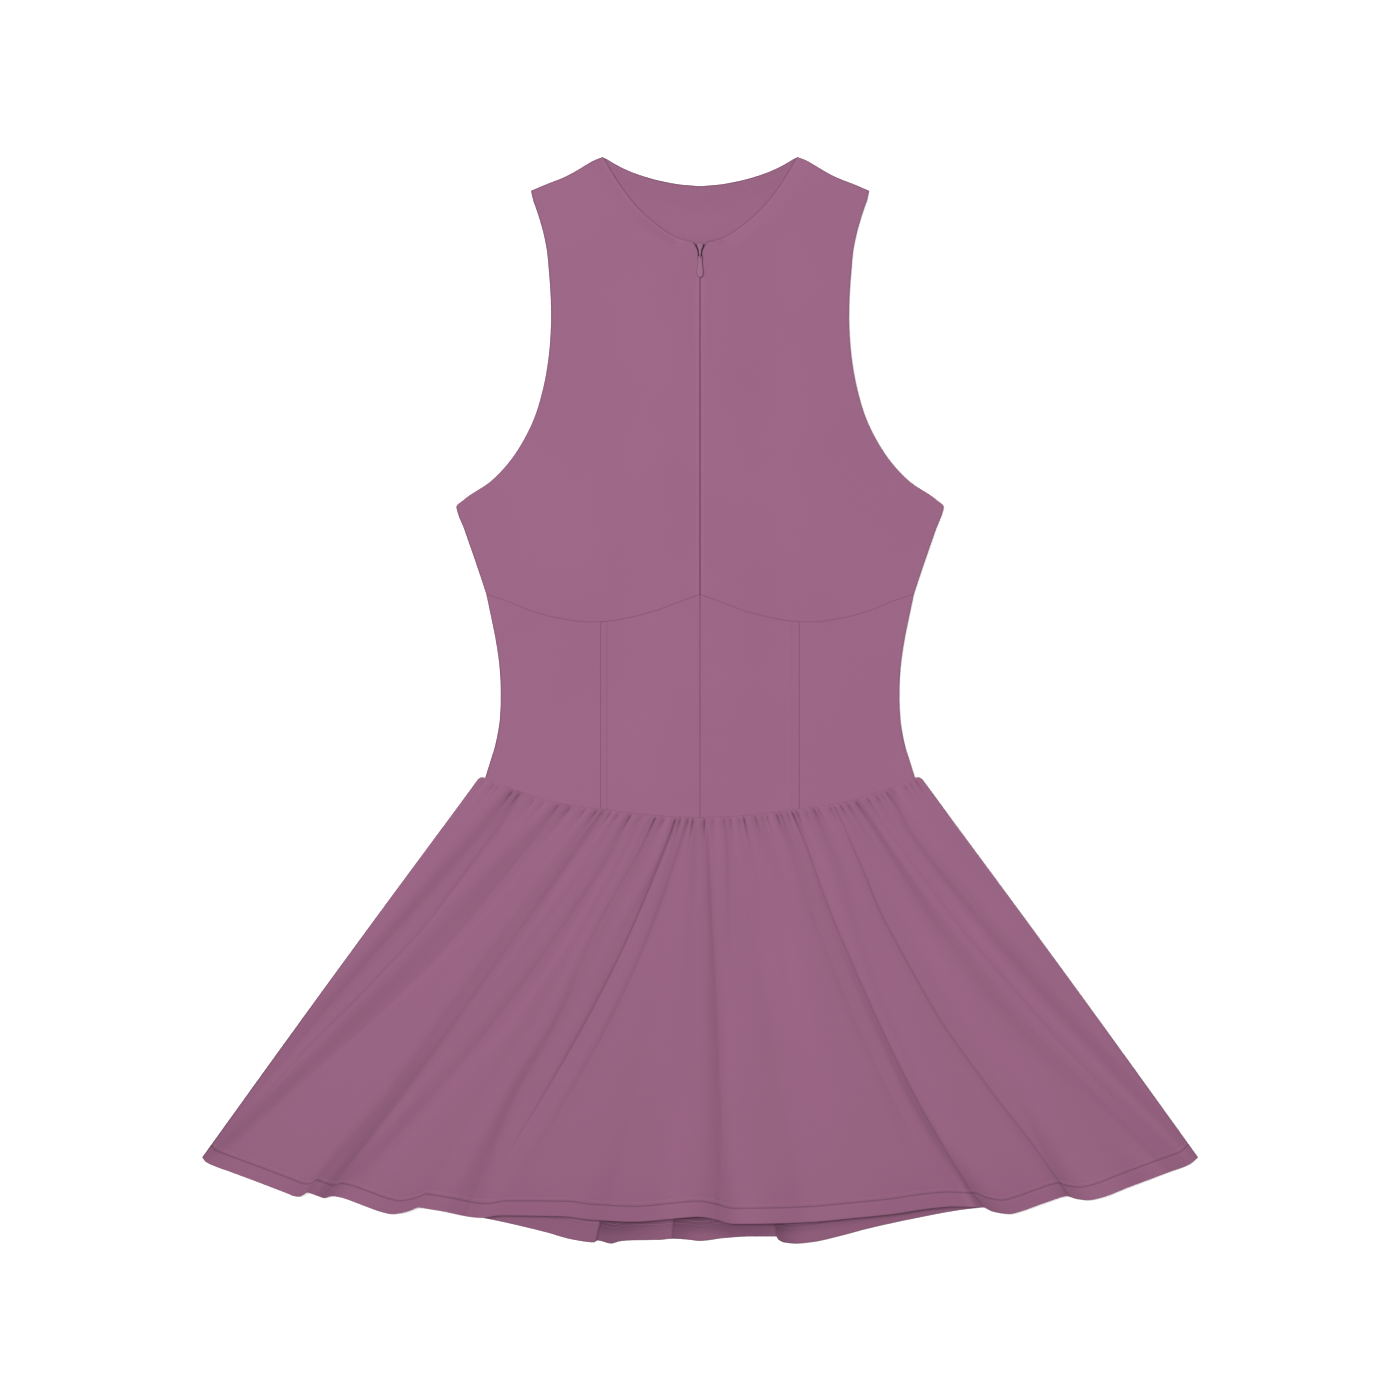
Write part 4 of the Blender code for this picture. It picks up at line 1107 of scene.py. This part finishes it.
def skirtFront():
    w, share = skirtGrid(400, 42)
    xy = skirtPlace(w, share)
    low, high, dark = skirtForm(w, share)
    low, high, shade = roundRims(xy, low, high, bottom=hemEdge, top=waistEdge, inner=litEdge)
    grain = np.stack([fanToHem(w), share * skirt["grainLength"]], axis=-1)
    return clothShell(
        "skirtFront", "skirt_front", xy, low, high, shade + dark, grain, clothLook,
    )


# Flat pleats of the back at the hem: x at the hem, height over the plain wall
backPleats = [
    (-398.4, 0), (-250, 0), (-210, 0.1), (-180, 0.3), (-140, 0.6),
    (-102, 0.9), (-84, 0.95), (-82, 0.1), (-64, 0.3), (-42, 0.5), (-22.6, 0.55),
    (-20.8, 0.1), (-9.6, 0.2), (12, 0.4), (40, 0.4), (61, 0.1), (62.2, 0.9),
    (76, 0.9), (91.2, 0.8), (120, 0.7), (155, 0.4), (190, 0.2), (230, 0),
    (398.4, 0),
]
backPleatCurve = steadyCurve(backPleats)


def backHemY(hemX):
    shown = (hemX > backHem[0][0]) & (hemX < backHem[-1][0])
    return np.where(shown, backHemCurve(hemX), hemLine(hemX) + skirt["backTuck"])


def backLength(hemX):
    w = np.interp(hemX, fanHemX, fanX)
    return skirtWaistLine(np.abs(w)) - backHemY(hemX)


def skirtBackPlace(hemX, share):
    # a little narrower than the front, which hides its sides
    w = np.interp(hemX, fanHemX, fanX)
    top = skirtWaistLine(np.abs(w)) - walls["seamGap"] / 2 - backPanel["seamDrop"]
    end = backHemY(hemX)
    endX = between(w, hemX, np.minimum(1.0, (top - end) / (top - hemLine(hemX))))
    x = between(w, endX, share) * skirt["backNarrowing"]
    return np.stack([x, between(top, end, share)], axis=-1)


def skirtBackTop(hemX, share):
    above = skirtBackPlace(hemX, share)[..., 1] - backHemY(hemX)
    fade = 1.0 - ease(above / skirt["backPleatReach"])
    fromFirst = above - skirt["hemTurnUp"]
    band = 0.3 * (1.0 - ease((fromFirst + 0.4) / 0.8))
    dips = 0.25 * bell(fromFirst - 0.2, 0.5) + 0.15 * bell(above - skirt["secondRow"], 0.5)
    return walls["back"] + fade * backPleatCurve(hemX) + band - dips


# Painted shadow beside the places where layers of the back tuck under one another: x at the
# hem, reach on the left, reach on the right close to the front's hem and at its own hem,
# darkness close to the front's hem and at its own hem
backTuckShadows = [
    (-83, 1, 50, 35, 0.60, 0.26), (-22, 1, 140, 13, 0.45, 0.27), (48, 22, 14, 14, 0, 0.22),
    (61.7, 1, 18, 13, 0.32, 0.30),
]


def skirtBackShade(hemX, share):
    # painted shade over all of it, painted shadow close under the front's hem and beside its own
    # tucks, and painted shade along its stitch row
    y = skirtBackPlace(hemX, share)[..., 1]
    deep = ease((hemLine(hemX) - y) / 15.0)
    shade = skirt["backShade"] + 0.10 * bell(y - backHemY(hemX) - firstRow, 0.55)
    for x, left, rightClose, rightFar, close, far in backTuckShadows:
        reach = np.where(hemX < x, left, between(rightClose, rightFar, deep))
        shade = shade + between(close, far, deep) * bell(hemX - x, reach)
    return shade


def skirtBack():
    close = [row[0] for row in backPleats + backHem]
    close += [row[0] + besideTuck for row in backTuckShadows for besideTuck in (-1.7, -0.7, 0, 0.5)]
    edges = hemHalf - np.array([0.1, 0.3, 0.6])
    hemX = np.unique(np.concatenate([np.linspace(-hemHalf, hemHalf, 360), close, edges, -edges]))
    length = backLength(hemX)
    shares = [row / length for row in waistRows[:4]]
    shares += [between(waistRows[3] / length, 1.0 - 40.0 / length, k / 25) for k in range(1, 26)]
    shares += [1.0 - row / length for row in (33.0, 28.0, 24.0, 21.0) + hemRows]
    share = np.array(shares)[::-1]
    hemX = np.broadcast_to(hemX, share.shape).copy()
    xy = skirtBackPlace(hemX, share)
    low, high, shade = roundRims(
        xy, np.zeros_like(share), skirtBackTop(hemX, share), top=waistEdge,
    )
    # less painted shade on the edges, with the painted shadows and shade added
    shade = shade * 0.3 + skirtBackShade(hemX, share)
    grain = np.stack([hemX, share * skirt["grainLength"]], axis=-1)
    return clothShell(
        "skirtBack", "skirt_back", xy, low, high, shade, grain, insideLook,
    )


skirtFrontPiece = skirtFront()
skirtBackPiece = skirtBack()
print("skirt made")


# Stitching

stitching = {"pitch": 2.2, "length": 1.55, "width": 0.42, "height": 0.30, "sink": 0.06}


def stitchRow(bm, points):
    # stitches along a line of points, each a small rounded bead of thread
    steps = np.linalg.norm(np.diff(points, axis=0), axis=1)
    travelled = np.concatenate([[0.0], np.cumsum(steps)])
    count = int(travelled[-1] / stitching["pitch"])
    for k in range(count):
        middle = (k + 0.5) * travelled[-1] / count
        ends = [middle - stitching["length"] / 2, middle + stitching["length"] / 2]
        a, b, centre = [
            Vector([np.interp(s, travelled, points[:, c]) for c in range(3)])
            for s in ends + [middle]
        ]
        heading = (b - a).normalized()
        across = Vector((0.0, 0.0, 1.0)).cross(heading).normalized()
        upward = heading.cross(across)
        turn = Matrix((heading, across, upward)).transposed().to_4x4()
        size = Matrix.Diagonal((
            stitching["length"] / 2, stitching["width"] / 2, stitching["height"] / 2, 1.0,
        ))
        place = Matrix.Translation(centre + upward * (stitching["height"] / 2 - stitching["sink"]))
        bmesh.ops.create_icosphere(
            bm, subdivisions=1, radius=1.0, matrix=Matrix.Scale(mm, 4) @ place @ turn @ size,
        )


def stitchPiece(name, rows, look=highlightedThreadLook):
    bm = bmesh.new()
    for points in rows:
        stitchRow(bm, points)
    return addPiece(name, meshFrom(bm, name), look)


def hemStitches(name, fromHem, look):
    w = np.linspace(-178.2, 178.2, 1400)
    share = 1.0 - fromHem / skirtLength(w)
    high = skirtForm(w, share)[1]
    return stitchPiece(name, [np.column_stack([skirtPlace(w, share), high])], look)


def backHemStitches():
    # only where the back shows below the front
    hemX = np.linspace(-170.0, 200.0, 600)
    rows = []
    for fromHem in (firstRow, skirt["secondRow"]):
        share = 1.0 - fromHem / backLength(hemX)
        rows.append(np.column_stack([skirtBackPlace(hemX, share), skirtBackTop(hemX, share)]))
    return stitchPiece("backHemStitching", rows)


def princessStitches(side, tag):
    away = princess - bodice["allowance"]
    y = np.linspace(waistLine(away) + 1.2, underBustLine(away) - 1.2, 200)
    x = np.full_like(y, side * away)
    z = frontTop(x, y) + bodice["allowanceRise"] * 0.5 - bodice["stitchDip"]
    return stitchPiece("princessStitching" + tag, [np.column_stack([x, y, z])])


def neckStitches():
    x = np.linspace(-66.0, 66.0, 300)
    y = backNeckLine(np.abs(x)) - backPanel["bandDepth"]
    return stitchPiece("neckStitching", [np.column_stack([x, y, backTop(x, y)])])


hemThread = [
    hemStitches("hemStitchingLower", firstRow, shadedThreadLook),
    hemStitches("hemStitchingUpper", skirt["secondRow"], highlightedThreadLook),
]
backHemThread = backHemStitches()
princessThread = {tag: princessStitches(side, tag) for side, tag in sideTags}
neckThread = neckStitches()
print("stitching made")


# Zip

# shade: painted shade on the slider's rims
sliderShape = {"high": 4.3, "rim": 0.28, "shade": 1.0}
sliderOutline = [(350.4, 0.6), (357.4, 0.9), (360.0, 1.1), (364.6, 2.5), (365.2, 2.1)]
# The bridge that the pull hangs on, a round bar bent over the slider: distance from the
# pull's axis along the zip, height
bridgeRadius = 0.42
bridgeRoute = [
    (-1.3, 4.05), (-1.3, 6), (-1, 6.6), (-0.45, 6.9), (0.45, 6.9), (1, 6.6), (1.3, 6),
    (1.3, 4.05),
]
# leftShade and rightShade: painted shade on the pull's rims
pullShape = {"thick": 1.0, "rim": 0.48, "leftShade": 0.9, "rightShade": 0.3}
pullOutline = [
    (-0.5, 1.1), (0.1, 1.6), (3.2, 1.55), (6, 1.75), (9.4, 2.2), (12.8, 2.5),
    (15, 2.2), (16.2, 1.4), (16.8, 0.45),
]      # distance below the axis, half width


def zipTape(side, tag):
    half = walls["zipGap"] / 2
    length = zipSizes["head"] - zipSizes["foot"]
    x = half + (zipSizes["tapeWidth"] - half) * sharesWithRims(8, zipSizes["tapeWidth"] - half)
    y = zipSizes["foot"] + length * sharesWithRims(120, length)
    x, y = np.meshgrid(x, y)
    xy = np.stack([side * x, y], axis=-1)
    low = np.full_like(x, walls["rest"])
    high = low + walls["tape"] + 0.05 * np.sin(y / 2.2) * bell(x - 2.0, 2.0)
    low, high, shade = roundRims(xy, low, high)
    return clothShell(
        "zipTape" + tag, "zip_tape_" + tag.lower(), xy, low, high, shade, xy.copy(), tapeLook,
    )


def facesOf(verts):
    return list({face for vert in verts for face in vert.link_faces})


def vertsIn(geometry):
    return [item for item in geometry if isinstance(item, bmesh.types.BMVert)]


def softPlate(bm, outline, low, high, rim, segments):
    # a plate over an outline given by its right half, with its upper and lower edges rolled
    points = outline.tolist() + [(-x, y) for x, y in reversed(outline.tolist())]
    disc = bmesh.ops.create_circle(bm, cap_ends=True, segments=len(points), radius=1.0)["verts"]
    for vert, (x, y) in zip(disc, points):
        vert.co = (x, y, low)
    tops = vertsIn(bmesh.ops.extrude_face_region(bm, geom=facesOf(disc))["geom"])
    for vert in tops:
        vert.co.z = high
    verts = disc + tops
    bmesh.ops.recalc_face_normals(bm, faces=facesOf(verts))
    edges = list({
        edge for vert in verts for edge in vert.link_edges
        if abs(edge.verts[0].co.z - edge.verts[1].co.z) < 1e-6
    })
    bmesh.ops.bevel(
        bm, geom=edges, offset=rim, offset_type="OFFSET", segments=segments, profile=0.5,
        affect="EDGES", clamp_overlap=True, material=-1,
    )


def bentBar(bm, route, radius):
    # a round bar along a route that starts upwards and ends downwards
    ring = bmesh.ops.create_circle(bm, cap_ends=True, segments=10, radius=radius)["verts"]
    bmesh.ops.translate(bm, vec=route[0], verts=ring)
    faces = bmesh.ops.extrude_discrete_faces(bm, faces=facesOf(ring))["faces"]
    heading = Vector((0.0, 0.0, 1.0))
    for k in range(1, len(route)):
        ahead = route[k + 1] - route[k] if k + 1 < len(route) else Vector((0.0, 0.0, -1.0))
        turned = ((route[k] - route[k - 1]).normalized() + ahead.normalized()).normalized()
        made = bmesh.ops.extrude_face_region(bm, geom=faces)["geom"]
        bmesh.ops.delete(bm, geom=faces, context="FACES_ONLY")
        turn = heading.rotation_difference(turned).to_matrix().to_4x4()
        bmesh.ops.transform(
            bm, verts=vertsIn(made),
            matrix=Matrix.Translation(route[k]) @ turn @ Matrix.Translation(-route[k - 1]),
        )
        faces = [item for item in made if isinstance(item, bmesh.types.BMFace)]
        heading = turned


def metalPiece(name, bm, top, left, right, body):
    # the rolled rims of a metal part, below its top face, get painted shade, set apart for the
    # left and the right
    bmesh.ops.transform(bm, matrix=Matrix.Scale(mm, 4), verts=bm.verts)
    mesh = meshFrom(bm, name)
    darkness = mesh.attributes.new("shade", "FLOAT", "POINT")
    for vert, item in zip(mesh.vertices, darkness.data):
        if vert.co.z < (top - 0.1) * mm:
            item.value = left if vert.co.x < 0.0 else right
    return addPiece(name, mesh, metalLook, body)


def zipSlider():
    bm = bmesh.new()
    outline = pathThrough([(half, y) for y, half in sliderOutline])(np.linspace(0, 1, 9))
    softPlate(bm, outline, walls["overTape"], sliderShape["high"], sliderShape["rim"], 3)
    bentBar(bm, [Vector((0.0, zipSizes["axisY"] + y, z)) for y, z in bridgeRoute], bridgeRadius)
    bmesh.ops.recalc_face_normals(bm, faces=bm.faces)
    dark = sliderShape["shade"]
    piece = metalPiece("zipSlider", bm, sliderShape["high"], dark, dark, "dress")
    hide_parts("zip_slider")
    return piece


def zipPull():
    bm = bmesh.new()
    outline = pathThrough([(half, zipSizes["axisY"] - down) for down, half in pullOutline])
    low = zipSizes["axisZ"] - pullShape["thick"] / 2
    high = low + pullShape["thick"]
    softPlate(bm, outline(np.linspace(0, 1, 28)), low, high, pullShape["rim"], 4)
    piece = metalPiece(
        "zipPull", bm, high, pullShape["leftShade"], pullShape["rightShade"], "pull",
    )
    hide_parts("zip_pull")
    return piece


tapes = {tag: zipTape(side, tag) for side, tag in sideTags}
zipSlider()
zipPull()
print("zip made")
